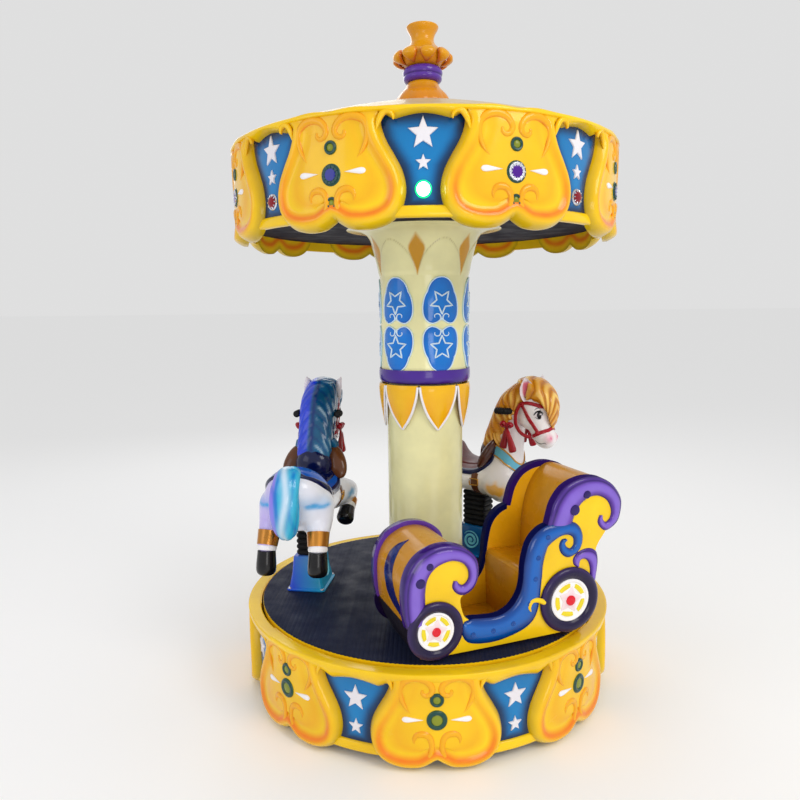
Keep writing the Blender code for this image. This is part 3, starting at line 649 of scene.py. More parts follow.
def divided(outline, parts):
    """A closed outline with each edge cut into parts, corners kept."""
    made = []
    for i in range(len(outline)):
        start = outline[i]
        end = outline[(i + 1) % len(outline)]
        made += [start + (end - start) * k / parts for k in range(parts)]
    return np.array(made)


def mirrored(points):
    points = np.array(points, float)
    points[:, 0] *= -1
    return points


def ellipse(rx, ry, count, centre=(0.0, 0.0)):
    a = circle(count)
    return np.column_stack([centre[0] + rx * np.cos(a), centre[1] + ry * np.sin(a)])


def on_drum(phase, bottom):
    """Bend flat (along, up, radius) on to a drum: along is measured at the mould's own radius."""
    def bend(points):
        radius = np.minimum(points[:, 2], OUTER_LIMIT)
        return polar(radius, phase + points[:, 0] / MOULD_RADIUS, bottom + points[:, 1])
    return bend


def on_turned(phase, arc, radius_at, low=0.0):
    """Bend flat (along, up, out) on to a turned surface. arc is the radius at which along is measured."""
    def bend(points):
        height = low + points[:, 1]
        return polar(radius_at(height) + points[:, 2], phase + points[:, 0] / arc, height)
    return bend


# The moulded drums: eight cartouches, eight star panels and the bands that join them

# Half of a cartouche's foot, from the notch between its lobes, round a lobe and up its side: along, up
CARTOUCHE_SIDE = [
    (0.0, 0.025), (0.014, 0.016), (0.038, 0.0045), (0.066, 0.0005), (0.098, 0.001), (0.13, 0.008),
    (0.158, 0.022), (0.179, 0.045), (0.1895, 0.075), (0.1905, 0.105), (0.181, 0.14), (0.162, 0.175),
    (0.142, 0.208), (0.13, 0.238), (0.1275, 0.262), (0.129, 0.278),
]
# The rolled rim from its foot inwards: distance in, radius, orange airbrush, olive painted shade
RIM = [
    (0.0, 0.568, 0.0, 1.0), (0.003, 0.5745, 0.0, 0.9), (0.007, 0.5825, 0.0, 0.6), (0.012, 0.59, 0.0, 0.2),
    (0.017, 0.5955, 0.1, 0.0), (0.023, 0.598, 0.35, 0.0), (0.029, 0.5976, 0.85, 0.0),
    (0.035, 0.595, 1.0, 0.0), (0.041, 0.5915, 0.6, 0.0), (0.047, 0.5892, 0.2, 0.0),
    (0.053, 0.589, 0.0, 0.0),
]
RIM_FADED = 0.5915
FIELD_STEPS = 5
FIELD_CROWN = 0.0035
# Radii at which the ornament stands on a cartouche and the stars and lamps on a panel
SCROLL_LEVEL = 0.5905
CURL_LEVEL = 0.591
HOOK_LEVEL = 0.5885
DISC_LEVEL = 0.592
PANEL_FRONT = 0.5674
PANEL_BACK = 0.564
STAR_LEVEL = 0.5672
LAMP_LEVEL = 0.5668
RECESS = 0.565
BAND_FOOT = 0.57


def cartouche_grid():
    """Points of half a cartouche, one row for each step up its side, from the foot in to the axis."""
    side = smooth_path(CARTOUCHE_SIDE, 4)
    along = directions(side)
    inward = np.column_stack([-along[:, 1], along[:, 0]])
    inward[0] = (0.0, 1.0)
    top_share = ease(side[:, 1], 0.235, 0.272)[:, None]
    inward = inward * (1 - top_share) + np.array([-1.0, 0.0]) * top_share
    inward /= np.linalg.norm(inward, axis=1)[:, None]
    spine_low = side[0, 1] + RIM[-1][0]
    climb = np.linspace(0, 1, len(side)) ** 1.15
    spine = np.column_stack([np.zeros(len(side)), spine_low + (side[-1, 1] - spine_low) * climb])
    rows = []
    masks = {name: [] for name in MASKS}
    for i, foot in enumerate(side):
        low = 1.0 - float(ease(foot[1], 0.02, 0.26)) * 0.75
        fade = 1.0 - float(ease(foot[1], 0.245, 0.275))
        row = []
        for distance, radius, orange, olive in RIM:
            flat = foot + inward[i] * distance
            flat[0] = max(flat[0], 0.0)
            radius = radius * fade + RIM_FADED * (1 - fade) if distance else radius
            row.append((*flat, radius))
            masks["orange"].append(orange * low * fade)
            # Painted shade at the rim's foot, stronger low down.
            masks["olive"].append(olive * (0.35 + 0.65 * low))
            masks["gold"].append(0.35 * (1 - low))
        rim_end = np.array(row[-1][:2])
        for k in range(1, FIELD_STEPS + 1):
            t = k / FIELD_STEPS
            flat = rim_end + (spine[i] - rim_end) * t
            edge = float(ease(t, 0, 0.35))
            row.append((*flat, row[len(RIM) - 1][2] + FIELD_CROWN * edge * fade))
            masks["orange"].append(0.3 * (1 - edge) * low)
            masks["olive"].append(0.0)
            masks["gold"].append(0.28 + 0.5 * (1 - float(ease(t, 0, 0.6))) * (0.4 + 0.6 * low))
        rows.append(row)
    return np.array(rows), masks


def add_cartouche(form, bend):
    """Both halves of the cartouche, with a back, so that it is a closed body."""
    grid, masks = cartouche_grid()
    rows, columns = grid.shape[:2]
    back = grid.copy()
    back[:, :, 2] = INNER_RADIUS
    for mirror in (1, -1):
        front_points = grid.reshape(-1, 3) * (mirror, 1, 1)
        back_points = back.reshape(-1, 3) * (mirror, 1, 1)
        points = np.vstack([front_points, back_points])
        faces = grid_faces(rows, columns)
        shift = rows * columns
        faces = faces + [tuple(shift + i for i in reversed(face)) for face in faces]
        foot = [r * columns for r in range(rows)]
        faces += [(foot[r + 1], foot[r], foot[r] + shift, foot[r + 1] + shift) for r in range(rows - 1)]
        last = range((rows - 1) * columns, rows * columns - 1)
        faces += [(c, c + 1, c + 1 + shift, c + shift) for c in last]
        values = {name: np.r_[value, value] for name, value in masks.items()}
        if mirror < 0:
            faces = [tuple(reversed(face)) for face in faces]
        form.add(bend(points), faces, 0, **values)


TOP_SCROLL = [
    (0.07, 0.168), (0.082, 0.182), (0.093, 0.202), (0.099, 0.226), (0.094, 0.249), (0.078, 0.263),
    (0.055, 0.268), (0.032, 0.263), (0.017, 0.25), (0.012, 0.236), (0.018, 0.224), (0.03, 0.22),
    (0.039, 0.227), (0.038, 0.236),
]
TOP_WIDTHS = (0.002, 0.01, 0.015, 0.018, 0.021, 0.022, 0.02, 0.018, 0.015, 0.012, 0.008)
TOP_HEIGHTS = (0.002, 0.005, 0.007, 0.007, 0.007, 0.007, 0.006, 0.004)
HOOK = [
    (0.1625, 0.252), (0.1625, 0.26), (0.156, 0.269), (0.145, 0.272), (0.135, 0.266), (0.126, 0.25),
    (0.12, 0.23),
]
HOOK_WIDTHS = (0.004, 0.009, 0.013, 0.016, 0.017, 0.014, 0.004)
HOOK_HEIGHTS = (0.004, 0.007, 0.009, 0.009, 0.008, 0.006, 0.002)
DROP = [(0.036, 0.0), (0.05, 0.0026), (0.066, 0.0056), (0.08, 0.0078), (0.09, 0.006), (0.0945, 0.0)]


def bottom_scroll(rise):
    """The curl above a lobe, which runs down into the rolled rim. rise lifts its upper part."""
    return [
        (0.061, 0.07 + rise), (0.062, 0.082 + rise), (0.055, 0.094 + rise), (0.041, 0.098 + rise),
        (0.026, 0.094 + rise), (0.017, 0.082 + rise), (0.014, 0.066 + rise * 0.7),
        (0.017, 0.05 + rise * 0.4), (0.027, 0.036), (0.044, 0.027), (0.066, 0.0235),
    ]


BOTTOM_WIDTHS = (0.004, 0.011, 0.016, 0.019, 0.019, 0.018, 0.016, 0.016, 0.015, 0.011, 0.004)
BOTTOM_HEIGHTS = (0.002, 0.005, 0.007, 0.007, 0.007, 0.006, 0.006, 0.005, 0.002)


def drop_outline(height):
    upper = smooth_path(DROP, 5)
    lower = upper[::-1][1:-1] * (1, -1)
    return np.vstack([upper, lower]) + (0, height)


def ornament(form, bend, rise):
    """The scrolls, curls and hooks on a cartouche."""
    for side in (1, -1):
        flip = mirrored if side < 0 else np.array
        scroll = smooth_path(TOP_SCROLL, 5)
        ridge(form, flip(scroll), TOP_WIDTHS, TOP_HEIGHTS, bend, SCROLL_LEVEL, shade_low=1.0, shade_top=0.3,
              sides=8, gold=0.5)
        curl = smooth_path(bottom_scroll(rise), 5)
        ridge(form, flip(curl), BOTTOM_WIDTHS, BOTTOM_HEIGHTS, bend, CURL_LEVEL, shade_low=1.0,
              shade_top=0.34, sides=8, gold=0.5)
        hook = smooth_path(HOOK, 5)
        ridge(form, flip(hook), HOOK_WIDTHS, HOOK_HEIGHTS, bend, HOOK_LEVEL, shade_low=0.35, sides=8,
              gold=0.2)


def medallion(form, bend_at, radius, disc_material, gem=None):
    """A dark ring round a lighter disc, or round a claw-set gem."""
    ring = [
        (radius * 0.98, -0.004), (radius, 0.0), (radius * 0.97, 0.0028), (radius * 0.86, 0.005),
        (radius * 0.7, 0.0052), (radius * 0.58, 0.004), (radius * 0.54, 0.0018), (radius * 0.5, 0.001),
    ]
    turned(form, ring, bend_at, 36, 0, masks={"gold": [0, 0.6, 0.3, 0, 0, 0.2, 0.5, 0.5]})
    disc = [(radius * 0.53, 0.0), (radius * 0.52, 0.0022), (radius * 0.4, 0.0036), (radius * 0.15, 0.0042)]
    if not gem:
        turned(form, disc, bend_at, 28, disc_material)
        return
    seat = [(radius * 0.8, 0.002), (radius * 0.78, 0.0062), (radius * 0.6, 0.0066), (radius * 0.5, 0.005)]
    turned(form, seat, bend_at, 36, 2)
    claws = 12
    for i in range(claws):
        a = 2 * math.pi * i / claws
        near = np.array([math.cos(a), math.sin(a)])
        ridge(form, np.array([near * radius * 0.83, near * radius * 0.66, near * radius * 0.5]),
              (0.004, 0.0045, 0.003), (0.002, 0.0028, 0.0022), bend_at, 0.0068, 2, 8)
    stone = [(radius * 0.56, 0.004), (radius * 0.55, 0.0075), (radius * 0.36, 0.0102),
             (radius * 0.1, 0.0108)]
    turned(form, stone, bend_at, 10, gem)


def shifted(bend, offset):
    """The same bend for a small flat shape that is drawn about its own middle."""
    return lambda points: bend(points + offset)


def local_bend(phase, bottom, along, up, radius):
    return shifted(on_drum(phase, bottom), (along, up, radius))


def panel_top(away, crown):
    """Height of a panel's curved top edge, away metres from its middle. Its bottom edge is level."""
    return crown - 0.01 * (np.minimum(away, 0.075) / 0.063) ** 1.6 + 0.012 * ease(away, 0.074, 0.092)


PANEL_BOTTOM = 0.0555
BAND_STEPS = 40


def make_drum(name, node_name, body, phase, bottom, crown, deck_rim):
    """The drum behind the cartouches: bottom band, recess for the panels, band that rolls over the top."""
    form = Form()
    columns = PERIODS * BAND_STEPS
    angles = circle(columns)
    panel_middle = PERIOD / 2
    away = np.abs((angles - panel_middle + PERIOD / 2) % PERIOD - PERIOD / 2) * MOULD_RADIUS
    edge = panel_top(away, crown)
    rows = []
    shades = []

    def row(heights, radius, olive=0.0):
        rows.append(polar(radius, phase + angles, bottom + np.broadcast_to(heights, (columns,))))
        shades.append(olive)

    # The olive values here are painted shade: at the bottom band's foot, in the recess round the panel and
    # under the band that rolls over the top.
    for heights, radius, olive in (
            (0.0262, INNER_RADIUS + 0.002, 0.0), (0.0262, 0.5715, 0.5), (0.0285, 0.5745, 0.2),
            (0.033, 0.576, 0.0), (0.044, 0.5755, 0.0), (0.051, 0.5735, 0.0), (0.0545, BAND_FOOT, 0.4),
            (PANEL_BOTTOM, RECESS, 0.8), (edge - 0.001, RECESS, 0.9), (edge, 0.569, 0.8)):
        row(heights, radius, olive)
    steps = 9
    top = MOULD_TOP - 0.003
    for k in range(1, steps + 1):
        t = k / steps
        swell = math.sin(t * math.pi / 2) ** (0.75 if deck_rim else 0.9)
        radius = BAND_FOOT + (OUTER_LIMIT - BAND_FOOT) * swell
        row(edge + (top - edge) * t, radius, max(0.0, 0.7 - 2.2 * t))
    along = ((angles + PERIOD / 2) % PERIOD - PERIOD / 2) * MOULD_RADIUS
    lobes = 0.45 * np.exp(-((np.abs(along) - 0.062) / 0.04) ** 2)
    bumps = (0.55 + lobes - 0.25 * np.exp(-(along / 0.018) ** 2)) * (0.0 if deck_rim else 0.008)
    for dip, share, inset in ((0.0012, 0.5, 0.001), (0.0003, 0.85, 0.0032), (0.0, 1.0, 0.0068),
                              (0.0, 0.7, 0.0098),
                              (0.0, 0.0, 0.0122)):
        row(MOULD_TOP - dip + bumps * share, OUTER_LIMIT - inset)
    if deck_rim:
        row(MOULD_TOP, 0.564)
        row(MOULD_TOP - 0.0012, 0.56)
        row(MOULD_TOP - 0.004, INNER_RADIUS + 0.002)
    else:
        row(MOULD_TOP, INNER_RADIUS + 0.002)
    form.add(np.vstack(rows), grid_faces(len(rows), columns, True, True), 0,
             olive=np.repeat(shades, columns))
    drum = form.make(name, body, ["yellow"], "yellow_gelcoat", smooth=50)
    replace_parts(drum, node_name)


def panel_sheet(bend):
    """The blue panel at the bottom of the recess, with painted shade at its edges and lighter in its middle,
    more so low down.
    """
    form = Form()
    columns = 33
    rows = 41
    half = 0.118
    across = np.linspace(-half, half, columns)
    up = np.linspace(0.046, 0.276, rows)
    front, back = ([(x, z, radius) for z in up for x in across] for radius in (PANEL_FRONT, PANEL_BACK))
    heights = (0.06, 0.12, 0.15, 0.18, 0.215, 0.25)
    halves = (0.04, 0.047, 0.055, 0.076, 0.098, 0.106)
    sides = [float(np.interp(z, heights, halves)) for z in up]
    dark = []
    bright = []
    for z, side in zip(up, sides):
        for x in across:
            to_edge = min(side - abs(x), (z - PANEL_BOTTOM) * 1.4, 0.262 - z + 0.006)
            # dark is painted shade at the panel's edges; bright lightens its middle, more so low down.
            dark.append(1 - float(ease(to_edge, 0.0, 0.034)))
            bright.append(float(ease(to_edge, 0.012, 0.045)) * (1 - float(ease(z, 0.05, 0.3)) * 0.5))
    form.add(bend(np.array(front + back)), sheet_faces(rows, columns), 0, olive=dark + dark,
             gold=bright + bright)
    return form


def raised_star(form, bend, radius, centre, level):
    outline = divided(star_points(radius, 0.44, centre=centre), 3)
    pillow(form, outline, [(1.02, level - 0.001), (1.0, level + 0.0028), (0.9, level + 0.0046),
                           (0.5, level + 0.0052)], bend, centre=centre)


def make_drums():
    """The base and the canopy: one mould with other proportions, turned against each other."""
    for which, body, phase, bottom, node_name, crown, rim in (
            ("base", "base", BASE_PHASE, 0.0, "base_housing", 0.237, True),
            ("canopy", "turntable", CANOPY_PHASE, CANOPY_LOBES, "canopy_skirt", 0.27, False)):
        is_base = which == "base"
        make_drum(which + "_drum", node_name, body, phase, bottom, crown, rim)
        bend = on_drum(phase, bottom)
        relief = Form()
        add_cartouche(relief, bend)
        ornament(relief, bend, 0.014 if is_base else 0.0)
        first = relief.make(which + "_cartouche_1", body, ["yellow"], "yellow_gelcoat", smooth=50,
                            weld=True)
        for item in copies(first, PERIODS, PERIOD, which + "_cartouche_{}"):
            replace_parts(item, node_name)
        drops = Form()
        height = 0.152 if is_base else 0.138
        for side in (1, -1):
            outline = drop_outline(height) * (side, 1)
            pillow(drops, outline, [(1.0, 0.59), (0.97, 0.5938), (0.8, 0.5956), (0.4, 0.5966)], bend,
                   centre=(side * 0.076, height))
        first = drops.make(which + "_drops_1", body, ["white"], "white_gelcoat")
        copies(first, PERIODS, PERIOD, which + "_drops_{}")
        big = (0.152, 0.0305) if is_base else (0.133, 0.03)
        small = (0.208, 0.0195) if is_base else (0.198, 0.0175)
        for number in range(PERIODS):
            turn = phase + PERIOD * number
            jewels = Form()
            medallion(jewels, local_bend(turn, bottom, 0, big[0], 0.5925 if is_base else SCROLL_LEVEL),
                      big[1] / 1.08, 1, None if is_base else 3)
            medallion(jewels, local_bend(turn, bottom, 0, small[0], DISC_LEVEL), small[1], 1)
            if not is_base:
                medallion(jewels, local_bend(turn, bottom, 0, 0.066, SCROLL_LEVEL), 0.0155, 1)
            stone = "gem_purple" if number % 2 == 0 else "gem_blue"
            claws = "silver" if number % 2 == 0 else "ring_green"
            jewels.make(f"{which}_medallions_{number + 1}", body,
                        ["ring_green", "disc_green", claws, stone], "yellow_gelcoat")
        panel_bend = on_drum(phase + PERIOD / 2, bottom)
        first = panel_sheet(panel_bend).make(which + "_panel_1", body, ["panel"], "blue_gelcoat")
        copies(first, PERIODS, PERIOD, which + "_panel_{}")
        stars = Form()
        for centre, radius in (((0, 0.181), 0.037), ((0, 0.098), 0.0225)) if is_base else (
                ((0, 0.223), 0.04), ((0, 0.155), 0.0205)):
            raised_star(stars, panel_bend, radius, centre, STAR_LEVEL)
        first = stars.make(which + "_stars_1", body, ["star_white"], "white_gelcoat", smooth=20)
        copies(first, PERIODS, PERIOD, which + "_stars_{}")


LAMP_UP = 0.092
# Lamp 1's collar glows green: a painted glow for the halo round its lens.
LENSES = {1: ("lens_white", "lens_green"), 5: ("lens_violet", "silver"), 3: ("lens_cyan", "silver"),
          7: ("lens_violet", "silver")}


def make_lamps():
    for number in range(1, PERIODS + 1):
        azimuth = FRONT + PERIOD * (number - 1)
        bend = local_bend(azimuth, CANOPY_LOBES, 0, LAMP_UP, LAMP_LEVEL)
        form = Form()
        lens, collar = LENSES.get(number, ("gem_red", "silver"))
        turned(form, [(0.0215, 0.0002), (0.0218, 0.004), (0.0205, 0.0062), (0.0175, 0.0062),
                      (0.0165, 0.004)], bend, 32, 1)
        if number == 1:
            turned(form, [(0.0168, 0.003), (0.0166, 0.007), (0.0135, 0.0112), (0.008, 0.0134),
                          (0.003, 0.014)], bend, 32, 0)
        else:
            for i in range(10):
                a = 2 * math.pi * i / 10
                near = np.array([math.cos(a), math.sin(a)])
                ridge(form, np.array([near * 0.019, near * 0.016, near * 0.012]), (0.004, 0.004, 0.002),
                      (0.002, 0.0026, 0.002), bend, 0.0075, 1, 8)
            turned(form, [(0.016, 0.003), (0.0158, 0.0075), (0.0105, 0.0122), (0.004, 0.0138)], bend, 10, 0)
        item = form.make(f"lamp_{number}", "turntable", [lens, collar], "lamp_lens", smooth=20)
        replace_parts(item, f"canopy_lamp_{number}")


# The turned pieces of the column and finial

def lathe(form, profile, steps, ripple=None, masks=None):
    """A closed turned body from (radius, height) points listed bottom to top on its outer side."""
    points = []
    for radius, height in profile:
        for a in circle(steps):
            r = radius * (1 + (ripple(a, height) if ripple else 0.0))
            points.append((r * math.cos(a), r * math.sin(a), height))
    values = {name: np.repeat(shares, steps) for name, shares in (masks or {}).items()}
    form.add(points, tube_faces(len(profile), steps), **values)


def turned_piece(name, body, profile, steps, material, slot, smooth=60, **options):
    """A piece that is one turned body."""
    form = Form()
    lathe(form, profile, steps, **options)
    return form.make(name, body, [material], slot, smooth=smooth)


NECK = [(0.1425, 1.0353), (0.1425, 1.11), (0.1425, 1.18), (0.1428, 1.25), (0.143, 1.305), (0.1445, 1.3303)]
BELL = [(0.1445, 1.3303), (0.147, 1.348), (0.151, 1.37), (0.1565, 1.393), (0.1625, 1.415), (0.169, 1.436),
        (0.178, 1.455), (0.188, 1.466), (0.206, 1.4745), (0.23, 1.4785), (0.249, 1.4797)]
COLUMN_SKIN = np.array(NECK + BELL[1:])
ORNAMENTS = 6
ORNAMENT_PHASE = FRONT + math.radians(22.1)
ORNAMENT_STEP = 2 * math.pi / ORNAMENTS
COLUMN_ARC = 0.1435


def skin_radius(height):
    return np.interp(height, COLUMN_SKIN[:, 1], COLUMN_SKIN[:, 0])


SPEAR = [(1.322, 0.0), (1.335, 0.8), (1.352, 2.6), (1.37, 4.8), (1.39, 7.4), (1.408, 9.6), (1.42, 9.0),
         (1.436, 5.4), (1.452, 1.4), (1.46, 0.0)]
ARCH = [(1.3, 29.9), (1.322, 29.6), (1.345, 28.6), (1.37, 25.6), (1.392, 21.5), (1.408, 17.0),
        (1.425, 11.0), (1.436, 5.5), (1.441, 0.0)]


def make_bell():
    """The bell: six lily petals in low relief with airbrushed golden spears between them."""
    form = Form()
    steps = 360
    skin = smooth_path(BELL, 5)
    angles = circle(steps)
    degrees = np.degrees(angles - ORNAMENT_PHASE)
    to_petal = np.abs((degrees + 30) % 60 - 30)
    to_spear = 30 - to_petal
    spear_h, spear_w = zip(*SPEAR)
    arch_h, arch_w = zip(*ARCH)
    points = []
    gold = []
    olive = []
    for radius, height in skin:
        half = np.interp(height, spear_h, spear_w)
        petal = np.interp(height, arch_h, arch_w, right=-8.0)
        inside = ease(petal - to_petal, -0.4, 0.5) * ease(height, 1.331, 1.345)
        lift = 0.0022 * inside
        soft = 1.6 + 2.2 * ease(height, 1.4, 1.45)
        spear = 1 - ease(to_spear - half, -soft, soft * 0.5)
        spear = spear * ease(half, 0.0, 0.8)
        line = np.exp(-((petal - to_petal + 0.5) / 0.55) ** 2) * float(1.36 < height < 1.4405)
        for a, up, s, shade in zip(angles, lift, spear, line):
            points.append(((radius + up) * math.cos(a), (radius + up) * math.sin(a), height))
            gold.append(s * 0.95)
            # olive: a darker line along each petal's edge, and painted shade high on the bell under its
            # flare.
            olive.append(0.75 * shade + 0.3 * float(ease(height, 1.42, 1.475)))
    form.add(points, tube_faces(len(skin), steps), 0, gold=gold, olive=olive)
    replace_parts(form.make("bell", "turntable", ["cream"], "cream_gelcoat", smooth=60), "column_bell")


# Half of an upper oval, from its top down its right side to the notch: along, height above its middle
OVAL_HALF = [
    (0.0, 0.0745), (0.016, 0.0715), (0.032, 0.059), (0.0415, 0.042), (0.0455, 0.0295), (0.05, 0.0225),
    (0.0555, 0.008), (0.059, -0.01), (0.0598, -0.025), (0.0575, -0.043), (0.049, -0.0585),
    (0.0345, -0.0675), (0.0195, -0.0655), (0.008, -0.059), (0.0, -0.053),
]
UPPER_MIDDLE = 1.251
LOWER_MIDDLE = 1.106
OVAL_CURL = [(0.004, -0.059), (0.0035, -0.049), (0.008, -0.0405), (0.0165, -0.0385), (0.0235, -0.043),
             (0.0225, -0.05)]


def make_neck():
    """The column's neck, with its starred blue ovals."""
    profile = [(r - 0.0002, h) for r, h in smooth_path(NECK, 6)]
    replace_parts(turned_piece("neck", "turntable", profile, 96, "cream", "cream_gelcoat"), "column_neck")
    form = Form()
    half = smooth_path(OVAL_HALF, 4)
    outline = np.vstack([half, mirrored(half)[::-1][1:-1]])
    bend = on_turned(ORNAMENT_PHASE, COLUMN_ARC, skin_radius)
    for middle, flip in ((UPPER_MIDDLE, 1), (LOWER_MIDDLE, -1)):
        shape = outline * (1, flip) + (0, middle)
        pillow(form, shape, [(1.0, -0.001), (0.985, 0.0012), (0.9, 0.0022), (0.6, 0.0034), (0.2, 0.004)],
               bend, 0, centre=(0, middle), masks={"olive": [0.9, 0.8, 0.35, 0.0, 0.0]})
        line = np.vstack([shape, shape[:2]])
        ridge(form, line, (0.0046,), (0.0032,), bend, 0.001, 1, 6, shade="olive", shade_low=0.9)
        star = divided(star_points(0.0385, 0.46, -math.pi / 2 * flip, (0, middle - 0.0015 * flip)), 4)
        ring = np.vstack([star, star[:2]])
        ridge(form, ring, (0.0054,), (0.003,), bend, 0.0034, 1, 6, shade="olive", shade_low=0.5)
        for side in (1, -1):
            curl = smooth_path(OVAL_CURL, 5) * (side, flip) + (0, middle)
            ridge(form, curl, (0.006, 0.0052, 0.0048, 0.0042, 0.003), (0.003, 0.003, 0.0028, 0.0022), bend,
                  0.002, 1, 6, shade="olive", shade_low=0.5)
    first = form.make("ovals_1", "turntable", ["oval", "pale_line"], "blue_gelcoat")
    copies(first, ORNAMENTS, ORNAMENT_STEP, "ovals_{}")


PETALS = 7
PETAL_PHASE = FRONT + math.radians(18.5)
PETAL_STEP = 2 * math.pi / PETALS
PETAL_HALF = [(0.0, 0.848), (0.01, 0.858), (0.024, 0.876), (0.039, 0.902), (0.05, 0.933), (0.0565, 0.962),
              (0.0595, 0.989)]
PETAL_ARC = 0.14


def petal_radius(height):
    return np.interp(height, (0.843, 0.87, 0.905, 0.945, 0.975, 0.99),
                     (0.129, 0.1335, 0.14, 0.1455, 0.1475, 0.145))


def make_petals():
    """Seven yellow petals that hang from the purple ring, each edged with a white ridge."""
    half = smooth_path(PETAL_HALF, 6)
    form = Form()
    bend = on_turned(PETAL_PHASE, PETAL_ARC, petal_radius)
    columns = 17
    front = []
    orange = []
    for width, height in half:
        for k in range(columns):
            x = width * (2 * k / (columns - 1) - 1)
            bulge = 0.004 * (1 - (x / max(width, 1e-6)) ** 2) if width else 0.0
            front.append((x, height, bulge))
            orange.append(0.15 + 0.55 * float(ease(abs(x), 0.0, 0.05)) * float(ease(height, 0.98, 0.86)))
    rows = len(half)
    back = [(x, height, -0.0035) for x, height, bulge in front]
    form.add(bend(np.array(front + back)), sheet_faces(rows, columns), 0, orange=orange + orange, gold=0.45)
    for side in (1, -1):
        edge = half * (side, 1)
        ridge(form, edge[:-1] + (0, -0.001), (0.0085, 0.009, 0.008, 0.007), (0.003, 0.0036, 0.0036, 0.003),
              bend, 0.0006, 1, 10, shade="olive", shade_low=0.3)
    first = form.make("petal_1", "turntable", ["yellow", "white"], "yellow_gelcoat", smooth=60)
    for item in copies(first, PETALS, PETAL_STEP, "petal_{}"):
        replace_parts(item, "column_petals")


def make_column():
    make_bell()
    make_neck()
    make_petals()
    low = MAT_TOP + SEAT_GAP
    tube = [(0.1249, low), (0.1249, low + 0.02), (0.1245, 0.5), (0.1245, 0.7), (0.1249, 0.9),
            (0.1249, 0.9895)]
    # Painted shade at the tube's foot by the mat and at its top under the ring.
    shades = {"olive": [0.5, 0.2, 0.0, 0.0, 0.0, 0.5]}
    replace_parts(turned_piece("tube", "turntable", tube, 96, "cream", "cream_gelcoat", 40, masks=shades),
                "column_tube")
    low = RING_LOW
    high = RING_HIGH
    ring = [(0.138, low), (0.144, low + 0.0012), (0.1475, low + 0.006), (0.1492, low + 0.014),
            (0.1497, low + 0.024), (0.1496, low + 0.034), (0.1485, low + 0.044), (0.146, high - 0.005),
            (0.1425, high - 0.001), (0.138, high)]
    # Painted shade where the ring rounds over at its top and bottom.
    shades = {"olive": [1, 0.9, 0.5, 0.1, 0, 0, 0.1, 0.4, 0.8, 1]}
    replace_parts(turned_piece("purple_ring", "turntable", ring, 96, "ring_purple", "purple_gelcoat",
                             masks=shades), "column_ring")


DOME_PROFILE = [(0.583, 1.709), (0.56, 1.7175), (0.49, 1.742), (0.4, 1.7715), (0.33, 1.7925), (0.25, 1.817),
                (0.17, 1.839), (0.12, 1.848), (0.088, 1.8515), (0.022, 1.852)]


